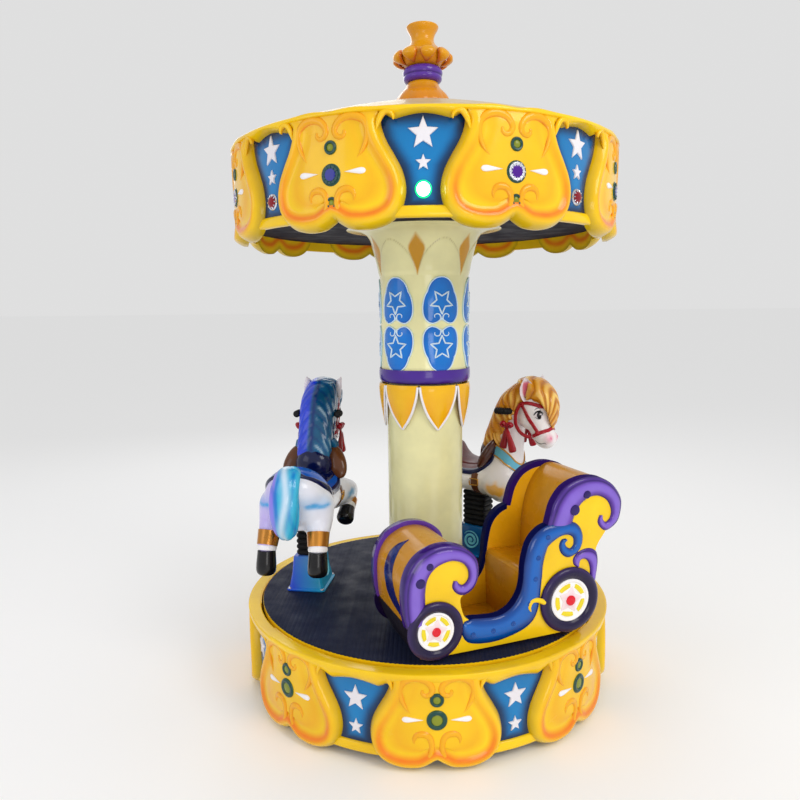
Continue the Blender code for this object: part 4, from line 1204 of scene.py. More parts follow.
def make_top():
    """Dome, dark ceiling and finial."""
    rim = [(0.584, DOME_BOTTOM), (0.585, DOME_BOTTOM + 0.003)]
    profile = rim + [tuple(p) for p in smooth_path(DOME_PROFILE, 4)]
    shades = {"olive": [max(0.0, 0.9 - 0.04 * k) for k in range(len(profile))]}

    def seams(a, height):
        away = abs((a / (2 * math.pi) * PERIODS + 0.5) % 1 - 0.5)
        return -0.0025 * math.exp(-(away / 0.012) ** 2)
    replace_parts(turned_piece("dome", "turntable", profile, 160, "dome", "cream_gelcoat", ripple=seams,
                             masks=shades), "canopy_dome")
    form = Form()
    # The ceiling is near black: painted shade under the canopy.
    ceiling = [(0.245, CEILING), (0.555, CEILING), (0.555, CEILING + 0.0095), (0.245, CEILING + 0.0095)]
    points = [(r * math.cos(a), r * math.sin(a), z) for r, z in ceiling for a in circle(96)]
    form.add(points, grid_faces(4, 96, True, True))
    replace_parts(form.make("ceiling", "turntable", ["ceiling"], "dark_paint"), "canopy_ceiling")

    low = DOME_TOP + SEAT_GAP
    foot = [(0.088, low + 0.005), (0.0885, low + 0.009), (0.0868, 1.87), (0.08, 1.886), (0.07, 1.899),
            (0.06, 1.909), (0.053, 1.919), (0.049, 1.928), (0.046, 1.931)]

    def flutes(a, height):
        return 0.05 * float(ease(1.92 - height, 0.0, 0.05)) * (abs(math.sin(4.5 * a)) - 0.6)
    skirt = turned_piece("finial_foot_skirt", "turntable", smooth_path(foot, 3), 144, "gold", "gold_paint",
                         ripple=flutes, masks={"orange": list(np.linspace(0.6, 0.1, 25))})
    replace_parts(skirt, "finial_foot")
    ring = [(0.046, 1.9314), (0.054, 1.933), (0.0595, 1.939), (0.0605, 1.945), (0.059, 1.9495),
            (0.061, 1.953), (0.0625, 1.959), (0.0615, 1.966), (0.057, 1.9725), (0.05, 1.976),
            (0.046, 1.9768)]
    # Painted shade in the groove round the collar's waist.
    collar = turned_piece("finial_collar", "turntable", smooth_path(ring, 3), 64, "purple",
                          "purple_gelcoat",
                          masks={"olive": [0.6 if 11 < i < 16 else 0.15 for i in range(31)]})
    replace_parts(collar, "finial_ring")
    form = Form()
    cup = [(0.044, 1.9774), (0.056, 1.982), (0.068, 1.992), (0.074, 2.005), (0.069, 2.018), (0.056, 2.03),
           (0.045, 2.04), (0.037, 2.052), (0.036, 2.064), (0.0395, 2.076), (0.0465, 2.088), (0.05, 2.0955),
           (0.0495, 2.0985), (0.047, 2.0998), (0.036, 2.0988), (0.022, 2.0955)]
    lathe(form, smooth_path(cup, 3), 64, masks={"orange": [0.4 - 0.3 * min(1, i / 22) for i in range(46)]})
    lobes = 9

    def vase_radius(height):
        return np.interp(height, (1.979, 1.986, 1.996, 2.008, 2.02, 2.028),
                         (0.058, 0.078, 0.089, 0.089, 0.08, 0.07))
    for i in range(lobes):
        outline = ellipse(0.025, 0.0215, 28, (0.0, 0.022))
        outline[:, 0] *= 0.8 + 0.25 * np.clip(outline[:, 1] / 0.04, 0, 1)
        pillow(form, outline, [(1.0, -0.008), (0.98, -0.002), (0.88, 0.0026), (0.6, 0.0052), (0.25, 0.006)],
               on_turned(FRONT + 2 * math.pi * i / lobes + 0.2, 0.082, vase_radius, 1.98), 0, (0.0, 0.022),
               masks={"orange": [0.95, 0.8, 0.3, 0.05, 0.0]})
    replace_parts(form.make("finial_vase", "turntable", ["gold"], "gold_paint", smooth=60), "finial_cup")


def make_base_and_deck():
    # The plinth is near black: painted shade in the gap under the base's band.
    plinth = [(0.516, 0.0), (0.52, 0.002), (0.52, 0.0255), (0.515, 0.026)]
    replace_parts(turned_piece("plinth", "base", plinth, 96, "dark", "dark_paint", 40), "base_plate")
    for name, material in (("slewing_bearing", "steel"), ("deck", "yellow")):
        only_paint(frame["nodes"][name].data, material)
    teeth = 260
    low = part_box("deck_mat")[0].z

    def serrated(a, height):
        phase = (a / (2 * math.pi) * teeth) % 1
        return -0.0035 if phase < 0.38 else 0.0
    mat = [(0.55, low), (0.55, MAT_TOP - 0.0004), (0.5492, MAT_TOP)]
    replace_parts(turned_piece("mat", "turntable", mat, teeth * 4, "mat", "mat_rubber", 30, ripple=serrated),
                "deck_mat")


# The car: local x runs to its rear, y inwards from its outer face, z up from the mat

CAR_PLACE = Matrix.Translation((0.039, -0.548, MAT_TOP)) @ Matrix.Rotation(math.radians(22.9), 4, "Z")
SIDE_FACE = 0.015
SIDE_BACK = 0.04
CAR_WIDTH = 0.29
BETWEEN_SIDES = (SIDE_BACK - 0.002, CAR_WIDTH - SIDE_BACK + 0.002)
SCROLL_OUTER = [
    (-.089, .106), (-.0965, .14), (-.0995, .18), (-.098, .217), (-.0905, .249), (-.076, .276),
    (-.053, .299), (-.015, .3165), (.023, .32), (.058, .313), (.088, .297), (.11, .274), (.118, .246),
    (.115, .213), (.101, .189), (.076, .176), (.054, .183), (.041, .202), (.045, .219),
]
SCROLL_INNER = [
    (-.04, .118), (-.0385, .169), (-.038, .2), (-.032, .231), (-.016, .255), (.007, .269), (.038, .275),
    (.068, .266), (.085, .246), (.087, .222), (.074, .206), (.062, .208), (.054, .218),
]
REAR_OUTER = [
    (.332, .316), (.341, .354), (.354, .396), (.379, .431), (.406, .449), (.438, .459), (.472, .462),
    (.511, .455), (.546, .435), (.57, .408), (.582, .382), (.581, .353), (.572, .324), (.552, .306),
    (.53, .299), (.512, .311), (.503, .328), (.509, .346),
]
REAR_INNER = [
    (.408, .31), (.417, .338), (.426, .362), (.446, .388), (.473, .403), (.503, .404), (.532, .388),
    (.547, .359), (.544, .336), (.53, .324), (.52, .333), (.518, .345),
]
SWOOSH_UPPER = [
    (.076, .098), (.098, .1015), (.13, .098), (.179, .096), (.218, .111), (.245, .142), (.257, .18),
    (.262, .237), (.277, .29), (.302, .32), (.336, .336), (.381, .337), (.417, .336), (.439, .321),
    (.451, .295), (.449, .266), (.433, .244), (.405, .235), (.383, .248), (.374, .271), (.382, .289),
    (.396, .29),
]
SWOOSH_LOWER = [
    (.069, .088), (.068, .066), (.09, .036), (.151, .025), (.214, .031), (.275, .052), (.306, .092),
    (.318, .18), (.322, .225), (.332, .262), (.341, .278), (.374, .298), (.401, .301), (.418, .292),
    (.421, .274), (.417, .266), (.41, .261), (.402, .264), (.396, .27), (.393, .277), (.395, .281),
    (.399, .283),
]
CURL_OUTER = [(.497, .146), (.503, .185), (.505, .215), (.499, .238), (.481, .25), (.458, .251),
              (.436, .243), (.422, .228), (.425, .21), (.438, .201)]
CURL_INNER = [(.478, .146), (.48, .172), (.478, .197), (.47, .215), (.458, .223), (.447, .221),
              (.443, .213), (.441, .206)]
YELLOW_HOOK = [(.324, .116), (.3125, .122), (.297, .1275), (.2815, .126), (.2735, .111), (.277, .099)]
# How far the bands stand out from the side, and the share of it that the narrowest keep
SCROLL_RISE = 0.0115
CURL_RISE = 0.0085
SWOOSH_RISE = 0.0105
NARROW_SHARE = 0.35
SWOOSH_BUTTON = [(0.0075, 0.0), (0.007, 0.0022), (0.0052, 0.0026), (0.004, 0.0014), (0.0015, 0.0012)]
# Place along the side, height and radius of a wheel
FRONT_WHEEL = (-.011, .089, .0815)
REAR_WHEEL = (.409, .109, .0965)


def car_bend(far):
    """Bend flat (along, up, out) on to a side of the car. out is measured from the side's face."""
    def bend(points):
        depth = SIDE_FACE - points[:, 2]
        if far:
            depth = CAR_WIDTH - depth
        local = np.column_stack([points[:, 0], depth, points[:, 1]])
        matrix = np.array(CAR_PLACE)
        return local @ matrix[:3, :3].T + matrix[:3, 3]
    return bend


def rolled_band(form, outer, inner, bend, height, material, count, rim=True, flange=None, start=1.0,
                edge=None):
    """A bulging band between two edges that wraps over the side's thickness at its outer edge.

    flange is the painted shade of a strip on the side's other face, and where it starts and ends. start is
    the share of its height that the band has at its first end. edge is the material of the flange and of the
    wrap."""
    if len(outer) == len(inner):
        both = resample(smooth_path(np.hstack([outer, inner]), 6), count)
        a = both[:, :2]
        b = both[:, 2:]
    else:
        a = resample(smooth_path(outer, 6), count)
        b = resample(smooth_path(inner, 6), count)
    side_back = -(SIDE_BACK - SIDE_FACE)
    strip_shade, first, last = flange or (1.0, 2.0, 2.0)
    gone = distances(a)
    gone /= gone[-1]
    points = []
    dark = []
    light = []
    for i in range(count):
        width = np.linalg.norm(a[i] - b[i])
        share = min(1.0, width / 0.045)
        tall = height * (NARROW_SHARE + (1 - NARROW_SHARE) * share)
        tall *= float(np.interp(i / count, (0.0, 0.04, 0.12), (start, start, 1.0)))
        out = (a[i] - b[i]) / (width + 1e-9)
        shown = first <= gone[i] <= last
        back = side_back - 0.0006 if shown else side_back + 0.003
        turn = 0.014 / (width + 1e-9)
        section = [(min(0.35, turn), back, strip_shade), (-0.0012 / (width + 1e-9), back, strip_shade)]
        steps = 13
        for k in range(steps):
            t = k / (steps - 1)
            bulge = math.sin(math.pi * t) ** 0.6
            lip = 0.0
            # Painted shade where the band is low at its edges, in its groove and near its outer edge.
            shade = 1 - min(1.0, bulge * 1.3)
            if rim and width > 0.03:
                groove = math.exp(-((t - 0.17) / 0.05) ** 2)
                lip = -0.0022 * groove
                shade = max(shade * 0.4, groove, 1 - float(ease(t, 0.0, 0.17))) if t < 0.4 else shade
            section.append((t, 0.0004 + tall * bulge + lip, shade))
        for t, lift, shade in section:
            flat = a[i] + (b[i] - a[i]) * t + out * (0.0012 if t <= 0.0 else 0.0)
            points.append((flat[0], flat[1], lift))
            dark.append(shade)
            # Painted highlight along the band's crest.
            light.append(float(ease(lift, tall * 0.75, tall * 1.02)) * 0.8)
        points.append((*(a[i] + (b[i] - a[i]) * 0.9), -0.003))
        dark.append(1.0)
        light.append(0.0)
    ring = len(points) // count
    faces = tube_faces(count, ring)
    paints = [material] * len(faces)
    if edge is not None:
        for i in range(count - 1):
            paints[i * ring] = edge
            paints[i * ring + 1] = edge
    form.add(bend(np.array(points)), faces, paints, olive=dark, gold=light)


def slab(name, outline, depths, material, slot, bevel=0.0025):
    """A flat car piece cut to an outline, with rounded edges."""
    curve = bpy.data.curves.new(name, "CURVE")
    curve.dimensions = "2D"
    curve.fill_mode = "BOTH"
    curve.extrude = (depths[1] - depths[0]) / 2 - bevel
    curve.bevel_depth = bevel
    curve.bevel_resolution = 2
    curve.offset = -bevel
    spline = curve.splines.new("POLY")
    spline.points.add(len(outline) - 1)
    for point, (x, y) in zip(spline.points, outline):
        point.co = (x, y, 0, 1)
    spline.use_cyclic_u = True
    middle = (depths[0] + depths[1]) / 2
    matrix = CAR_PLACE @ Matrix.Translation((0, middle, 0)) @ Matrix.Rotation(math.pi / 2, 4, "X")
    mesh = evaluated(linked(name + "_curve", curve))
    cleaned(mesh, weld=True)
    only_paint(mesh, material)
    shade(mesh, 35)
    return place(name, mesh, "turntable", slot, matrix)


def side_outline():
    """The side's whole outline, drawn inside its rolled edges."""
    front = smooth_path([(-.08, .104)] + SCROLL_OUTER[1:15], 6)
    opening = smooth_path([(.078, .176), (.066, .165), (.068, .14), (.078, .112), (.092, .1005)], 5)
    swoosh = smooth_path(SWOOSH_UPPER[2:11], 5)
    rear = smooth_path(REAR_OUTER[1:14], 6)
    back = smooth_path([(.536, .302), (.524, .285), (.507, .262), (.499, .24), (.503, .215), (.502, .185),
                        (.494, .12), (.47, .06), (.44, .022), (.42, .0125)], 4)
    sill = [(.3, .0115), (.15, .0105), (.04, .011), (-.03, .0125), (-.05, .026), (-.064, .054),
            (-.073, .084)]
    return [tuple(p) for p in np.vstack([front, opening, swoosh, rear, back, sill])]


HOOD_ARC = [(-.05, .016), (-.0665, .045), (-.0775, .075), (-.085, .106), (-.0895, .14), (-.0915, .178),
            (-.0905, .214), (-.083, .244), (-.069, .27), (-.047, .2905), (-.013, .3065), (.023, .31),
            (.053, .3035), (.0795, .289), (.0985, .268), (.1055, .244), (.1025, .222)]
HOOD_EDGE = .108
HOOD_THICKNESS = 0.007
SEAT_THICKNESS = 0.012
# The crescent on the hood: height on its front, near edge and far edge across the car
CRESCENT = [(.12, .042, .05), (.1335, .052, .117), (.154, .076, .159), (.173, .0995, .173),
            (.2045, .1205, .185), (.236, .129, .187), (.2645, .135, .183), (.287, .1446, .17),
            (.3, .15, .151)]


def sheet_between_sides(name, arc, thickness, depths, material, slot):
    """A curved sheet from one side of the car to the other."""
    path = smooth_path(arc, 5)
    along = directions(path)
    inward = np.column_stack([along[:, 1], -along[:, 0]])
    across = np.linspace(depths[0], depths[1], 15)
    front = [(p[0], y, p[1]) for p in path for y in across]
    back = [(p[0] + n[0] * thickness, y, p[1] + n[1] * thickness)
            for p, n in zip(path, inward) for y in across]
    form = Form()
    # Painted shade: darker orange towards both sides, where the sheet meets them.
    edge = [max(0.0, 1 - min(y - depths[0], depths[1] - y) / 0.03) for p in path for y in across]
    form.add(front + back, sheet_faces(len(path), len(across)), 0, orange=[0.7 * e for e in edge] * 2)
    return form.make(name, "turntable", [material], slot, CAR_PLACE, smooth=50), path


def make_hood():
    """The hood, with painted shade below its edge where it is tucked under, and the blue crescent on its
    front.
    """
    hood, path = sheet_between_sides("hood", HOOD_ARC, HOOD_THICKNESS, BETWEEN_SIDES, "ochre",
                                     "ochre_gelcoat")
    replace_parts(hood, "car_hood")
    # Painted shade below the hood's edge.
    repaint(hood, "dark", lambda polygon: polygon.center.z < MAT_TOP + HOOD_EDGE)
    steps = distances(path)
    rows = 40
    outline = resample(smooth_path(CRESCENT, 6), rows)
    crown = int(np.argmax(path[:, 1]))
    lengths = np.interp(outline[:, 0], path[:crown, 1], steps[:crown])
    along = directions(path)
    points = []
    for s, (near, far) in zip(lengths, outline[:, 1:]):
        x = float(np.interp(s, steps, path[:, 0]))
        z = float(np.interp(s, steps, path[:, 1]))
        nx = -float(np.interp(s, steps, along[:, 1]))
        nz = float(np.interp(s, steps, along[:, 0]))
        for y, lift in ((near, -0.002), (near, 0.001), (near * 0.7 + far * 0.3, 0.0022),
                        (near * 0.3 + far * 0.7, 0.0022),
                        (far, 0.001), (far, -0.002)):
            points.append((x + nx * lift, y, z + nz * lift))
    faces = tube_faces(rows, len(points) // rows)
    Form().add(points, faces).make("hood_crescent", "turntable", ["crescent"], "blue_gelcoat", CAR_PLACE)


def make_wheel(name, place_at, far, node_name):
    x, height, radius = place_at
    form = Form()
    bend = shifted(car_bend(far), (x, height, SEAT_GAP))
    thick = 0.0146
    disc = radius * 0.655
    tyre = [(radius * 0.985, 0.0), (radius, 0.0025), (radius * 0.995, 0.006), (radius * 0.965, 0.01),
            (radius * 0.92, 0.0128), (radius * 0.85, thick), (radius * 0.78, 0.014),
            (radius * 0.72, 0.0118), (disc + 0.003, 0.0088), (disc, 0.0068), (disc - 0.002, 0.003)]
    # The gold mask is a painted highlight along the tyre's rounded shoulder.
    turned(form, tyre, bend, 72, 0, masks={"gold": [0, 0.2, 0.7, 0.9, 0.5, 0.1, 0, 0, 0, 0, 0]})
    rim = [(disc - 0.0005, 0.002), (disc - 0.0007, 0.0078), (disc - 0.003, 0.0095), (disc * 0.9, 0.0096),
           (disc * 0.84, 0.0076), (disc * 0.82, 0.006), (disc * 0.4, 0.0062)]
    turned(form, rim, bend, 72, 1)
    for i in range(5):
        a = math.pi / 2 + 2 * math.pi * (i + 0.35) / 5
        spread = np.linspace(-0.44, 0.44, 11)
        out_r = disc * 0.775
        upper = np.column_stack([out_r * np.cos(a + spread), out_r * np.sin(a + spread)])
        dip = disc * (0.6 - 0.05 * np.cos(spread / 0.44 * math.pi / 2))
        lower = np.column_stack([dip * np.cos(a + spread), dip * np.sin(a + spread)])[::-1]
        outline = np.vstack([upper, lower])
        pillow(form, outline, [(1.0, 0.0055), (0.96, 0.0082), (0.7, 0.009), (0.3, 0.0092)], bend, 2)
    star = divided(star_points(disc * 0.66, 0.58, math.pi / 2 + 2 * math.pi * 0.85 / 5), 3)
    pillow(form, star, [(1.0, 0.0056), (0.95, 0.0078), (0.55, 0.0098), (0.3, 0.0105)], bend, 1, (0, 0),
           masks={"gold": [0.5, 0.6, 1.0, 1.0]})
    hub = radius * 0.155
    turned(form, [(hub, 0.006), (hub * 0.98, 0.0125), (hub * 0.7, 0.0142), (hub * 0.25, 0.0146)], bend, 28,
           3)
    item = form.make(name, "turntable", ["tyre", "wheel_white", "wheel_yellow", "hub_red"], "tyre_paint",
                     smooth=45)
    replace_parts(item, node_name)


SEAT_FRONT = [(.397, .028), (.397, .12), (.397, .2), (.399, .26), (.403, .31), (.414, .36), (.432, .402),
              (.456, .432), (.486, .446), (.52, .438), (.549, .416), (.567, .386), (.5715, .352),
              (.562, .323), (.541, .304)]


def make_car():
    for far, which, nodes in ((False, "near", "car_side_outer"), (True, "far", "car_side_inner")):
        depths = (SIDE_FACE, SIDE_BACK)
        if far:
            depths = (CAR_WIDTH - SIDE_BACK, CAR_WIDTH - SIDE_FACE)
        face = slab(f"car_{which}_side", side_outline(), depths, "yellow", "yellow_gelcoat")
        inward = CAR_PLACE.to_3x3() @ Vector((0, -1 if far else 1, 0))
        repaint(face, "inner_gold", lambda polygon: polygon.normal.dot(inward) > 0.7)
        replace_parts(face, nodes)
        bend = car_bend(far)
        purple = Form()
        # The flange shades are painted shade, set apart for the near and far sides.
        rolled_band(purple, SCROLL_OUTER, SCROLL_INNER, bend, SCROLL_RISE, 0, 110,
                    flange=(0.0 if far else 0.8, 0.0, 0.75))
        rolled_band(purple, REAR_OUTER, REAR_INNER, bend, SCROLL_RISE, 0, 120, flange=(1.0, 0.03, 0.75),
                    start=0.45, edge=2)
        rolled_band(purple, CURL_OUTER, CURL_INNER, bend, CURL_RISE, 0, 60)
        for x, z, r in ((-.056, .23, .0136), (-.029, .2715, .0102), (.4165, .374, .0155),
                        (.456, .415, .012)):
            turned(purple, [(r, 0.0), (r * 0.96, 0.003), (r * 0.6, 0.0042), (r * 0.2, 0.0045)],
                   shifted(bend, (x, z, 0.01)), 24, 1)
        purple.make(f"car_{which}_purple_scrolls", "turntable", ["purple", "deep_purple", "edge_purple"],
                    "purple_gelcoat", smooth=60)
        blue = Form()
        rolled_band(blue, SWOOSH_UPPER, SWOOSH_LOWER, bend, SWOOSH_RISE, 0, 150, rim=False,
                    flange=(1.0, 0.0, 0.58), edge=1)
        for x, z in ((.098, .062), (.16, .062), (.222, .072), (.275, .12), (.292, .19), (.3, .25),
                     (.33, .305)):
            turned(blue, SWOOSH_BUTTON, shifted(bend, (x, z, 0.0098)), 20)
        blue.make(f"car_{which}_blue_swoosh", "turntable", ["blue", "edge_navy"], "blue_gelcoat", smooth=60)
        hook = Form()
        ridge(hook, smooth_path(YELLOW_HOOK, 6), (0.016, 0.015, 0.014, 0.012, 0.01, 0.004), (0.005,), bend,
              0.0095, 0, 12)
        hook.make(f"car_{which}_hook", "turntable", ["yellow"], "yellow_gelcoat")
    make_hood()
    back = sheet_between_sides("seat_back", SEAT_FRONT, -SEAT_THICKNESS, BETWEEN_SIDES, "ochre",
                               "ochre_gelcoat")[0]
    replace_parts(back, "car_seat_back")
    cabin = (SIDE_BACK - 0.001, CAR_WIDTH - SIDE_BACK + 0.001)
    seat = [(.266, .0305), (.396, .0305), (.396, .202), (.34, .2015), (.29, .204), (.276, .203),
            (.266, .195), (.262, .18)]
    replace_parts(slab("bench", seat, cabin, "ochre", "ochre_gelcoat", 0.004), "car_bench")
    floor = [(-.044, .001), (.47, .001), (.47, .03), (-.044, .03)]
    pan = slab("car_floor_pan", floor, cabin, "ochre", "ochre_gelcoat", 0.002)
    # Its front faces get the dark paint as painted shade under the hood.
    forward = CAR_PLACE.to_3x3() @ Vector((-1, 0, 0))
    repaint(pan, "dark", lambda polygon: polygon.normal.dot(forward) > 0.3)
    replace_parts(pan, "car_floor")
    for name, at, far, node_name in (("wheel_front_near", FRONT_WHEEL, False, "car_wheel_1"),
                                     ("wheel_rear_near", REAR_WHEEL, False, "car_wheel_2"),
                                     ("wheel_front_far", FRONT_WHEEL, True, "car_wheel_3"),
                                     ("wheel_rear_far", REAR_WHEEL, True, "car_wheel_4")):
        make_wheel(name, at, far, node_name)


# The horses: local x forward, y to the left, z up from the mat

# Distance from the axis, azimuth and heading of each horse
SEATS = {
    "left": (0.396, math.radians(173.5), math.radians(83.5)),
    "right": (0.39, math.radians(53.5), math.radians(-36.5)),
}
SIDEWAYS = (0.0, 1.0, 0.0)
SKIN_VOXEL = 0.0055
SKIN_SOFTENING = 8
PEDESTAL_X = -0.035

# Sections of the moulded body as (x, height, half width, half depth)
TORSO = [
    (-0.264, 0.342, 0.03, 0.035), (-0.252, 0.345, 0.066, 0.07), (-0.222, 0.347, 0.094, 0.094),
    (-0.184, 0.338, 0.108, 0.1), (-0.158, 0.327, 0.111, 0.082), (-0.132, 0.317, 0.111, 0.068),
    (-0.1, 0.309, 0.11, 0.061), (-0.05, 0.306, 0.108, 0.056), (0.0, 0.308, 0.105, 0.063),
    (0.045, 0.314, 0.099, 0.08), (0.09, 0.32, 0.091, 0.096), (0.128, 0.327, 0.076, 0.09),
    (0.15, 0.33, 0.05, 0.062), (0.16, 0.332, 0.02, 0.03),
]
NECK_FORM = [
    (0.074, 0.33, 0.08, 0.08), (0.08, 0.38, 0.072, 0.074), (0.09, 0.43, 0.063, 0.065),
    (0.1, 0.48, 0.056, 0.057), (0.112, 0.53, 0.052, 0.053), (0.13, 0.58, 0.05, 0.052),
    (0.15, 0.625, 0.046, 0.046), (0.165, 0.65, 0.036, 0.03),
]
HEAD = [
    (0.15, 0.632, 0.028, 0.028), (0.164, 0.624, 0.044, 0.048), (0.188, 0.606, 0.053, 0.06),
    (0.208, 0.575, 0.055, 0.057), (0.221, 0.541, 0.049, 0.048), (0.233, 0.508, 0.043, 0.041),
    (0.244, 0.484, 0.042, 0.038), (0.252, 0.466, 0.038, 0.034), (0.257, 0.452, 0.028, 0.024),
    (0.26, 0.443, 0.012, 0.01),
]
TAIL = [
    (-0.21, 0.426, 0.022, 0.016), (-0.228, 0.437, 0.032, 0.022), (-0.252, 0.43, 0.04, 0.027),
    (-0.272, 0.404, 0.045, 0.03), (-0.284, 0.365, 0.047, 0.031), (-0.287, 0.325, 0.047, 0.03),
    (-0.282, 0.285, 0.043, 0.027), (-0.273, 0.254, 0.032, 0.022), (-0.267, 0.239, 0.018, 0.014),
    (-0.265, 0.234, 0.006, 0.005),
]

# Legs as (x, distance to the side, height, radius)
HIND_LEG = [(-0.18, 0.064, 0.32, 0.06), (-0.196, 0.072, 0.275, 0.05), (-0.222, 0.08, 0.238, 0.036),
            (-0.24, 0.083, 0.206, 0.031)]
BENT_LEG = [(0.085, 0.058, 0.3, 0.056), (0.14, 0.078, 0.288, 0.046), (0.19, 0.086, 0.276, 0.036),
            (0.176, 0.089, 0.246, 0.029), (0.15, 0.09, 0.222, 0.027)]
REACHING_LEG = [(0.085, 0.058, 0.3, 0.056), (0.145, 0.074, 0.29, 0.046), (0.196, 0.08, 0.266, 0.035),
                (0.214, 0.082, 0.232, 0.028), (0.219, 0.082, 0.205, 0.027)]

# Hair over a crest as (x, height, half width, depth of its crown, length of its sides), from the poll on
MANE = [
    (0.176, 0.694, 0.03, 0.014, 0.02), (0.162, 0.69, 0.05, 0.022, 0.044),
    (0.14, 0.676, 0.058, 0.026, 0.052), (0.112, 0.656, 0.061, 0.028, 0.058),
    (0.084, 0.631, 0.062, 0.03, 0.062), (0.062, 0.596, 0.062, 0.032, 0.058),
    (0.046, 0.562, 0.061, 0.034, 0.054), (0.029, 0.521, 0.06, 0.034, 0.05),
    (0.014, 0.482, 0.06, 0.032, 0.046), (0.006, 0.446, 0.058, 0.028, 0.044),
    (0.004, 0.42, 0.05, 0.022, 0.036),
]
FORELOCK = [
    (0.146, 0.688, 0.036, 0.016, 0.016), (0.16, 0.695, 0.045, 0.022, 0.026),
    (0.182, 0.699, 0.047, 0.026, 0.036), (0.208, 0.698, 0.054, 0.03, 0.046),
    (0.234, 0.687, 0.059, 0.034, 0.046), (0.258, 0.668, 0.06, 0.036, 0.034),
    (0.278, 0.641, 0.058, 0.036, 0.02), (0.288, 0.613, 0.052, 0.031, 0.01),
    (0.291, 0.588, 0.045, 0.025, 0.004), (0.289, 0.562, 0.037, 0.018, 0.003),
    (0.284, 0.539, 0.027, 0.012, 0.002), (0.277, 0.518, 0.01, 0.006, 0.001),
]

# The handlebar as (x, y) from the left grip's end to the neck, and its height
GRIP = [(0.082, 0.075), (0.1, 0.075), (0.118, 0.075), (0.128, 0.072), (0.1335, 0.066), (0.135, 0.058),
        (0.135, 0.03)]
BAR_HEIGHT = 0.575
BAR_RADIUS = 0.0113
GRIP_RADIUS = 0.0125


def sweep(form, path, widths, depths, hint=SIDEWAYS, sides=20, power=2.0, material=0, **masks):
    """A closed body along a 3-D path with elliptic sections; hint says which way its width lies."""
    path = np.asarray(path, float)
    along = directions(path)
    across = np.asarray(hint, float) - along * (along @ np.asarray(hint, float))[:, None]
    across /= np.linalg.norm(across, axis=1)[:, None]
    normal = np.cross(along, across)
    a = circle(sides)
    c = np.sign(np.cos(a)) * np.abs(np.cos(a)) ** (2 / power)
    s = np.sign(np.sin(a)) * np.abs(np.sin(a)) ** (2 / power)
    points = (path[:, None] + across[:, None] * (np.asarray(widths)[:, None, None] * c[None, :, None])
              + normal[:, None] * (np.asarray(depths)[:, None, None] * s[None, :, None]))
    form.add(points.reshape(-1, 3), tube_faces(len(path), sides), material, **masks)


def sided(points, side):
    """Points of the horse's left, or their mirror images on its right where side is -1."""
    return np.array(points, float) * (1, side, 1)


def loft(form, stations, **options):
    """A body through stations of (x, z, half width, half depth) in the horse's middle plane."""
    path = smooth_path(stations, 5)
    centre = np.column_stack([path[:, 0], np.zeros(len(path)), path[:, 1]])
    sweep(form, centre, path[:, 2], path[:, 3], **options)


def strand(form, path, radius, flat, ends=(0.35, 0.12), **options):
    """A round ended cord or loop, thick in its middle."""
    path = smooth_path(path, 6)
    t = np.linspace(0, 1, len(path))
    size = radius * np.interp(t, (0, 0.12, 0.45, 0.8, 1), (ends[0], 0.85, 1.0, 0.75, ends[1]))
    sweep(form, path, size, size * flat, sides=12, **options)


def ellipsoid(centre, radii, steps=20):
    rows = steps // 2 - 1
    points = []
    for r in range(1, rows + 1):
        lift = math.pi * r / (rows + 1)
        for a in circle(steps):
            points.append((centre[0] + radii[0] * math.sin(lift) * math.cos(a),
                           centre[1] + radii[1] * math.sin(lift) * math.sin(a),
                           centre[2] + radii[2] * math.cos(lift)))
    return np.array(points), tube_faces(rows, steps)


def leg(form, joints, side):
    path = smooth_path(joints, 5)
    centre = path[:, :3] * (1, side, 1)
    sweep(form, centre, path[:, 3], path[:, 3], sides=20)
    for end in (0, -1):
        form.add(*ellipsoid(centre[end], (path[end, 3],) * 3))


def fused_body():
    """The horse's white body as one smooth mesh, still in its own frame."""
    form = Form()
    loft(form, TORSO, sides=32, power=2.1)
    loft(form, NECK_FORM, sides=28)
    loft(form, HEAD, sides=28, power=2.1)
    for side in (1, -1):
        form.add(*ellipsoid((0.192, side * 0.02, 0.55), (0.04, 0.036, 0.042)))
        form.add(*ellipsoid((-0.172, side * 0.058, 0.312), (0.078, 0.058, 0.088)))
        form.add(*ellipsoid((0.098, side * 0.052, 0.29), (0.052, 0.046, 0.06)))
        form.add(*ellipsoid((0.264, side * 0.021, 0.482), (0.021, 0.02, 0.021)))
        leg(form, HIND_LEG, side)
    leg(form, BENT_LEG, -1)
    leg(form, REACHING_LEG, 1)
    mesh = mesh_of("horse_skin", form.points, form.faces)
    cleaned(mesh)
    holder = linked("horse_skin", mesh)
    remesh = holder.modifiers.new("fuse", "REMESH")
    remesh.mode = "VOXEL"
    remesh.voxel_size = SKIN_VOXEL
    soften = holder.modifiers.new("soften", "SMOOTH")
    soften.factor = 0.6
    soften.iterations = SKIN_SOFTENING
    return evaluated(holder)


def skin_of(mesh):
    points = [v.co.copy() for v in mesh.vertices]
    return BVHTree.FromPolygons(points, [tuple(p.vertices) for p in mesh.polygons])


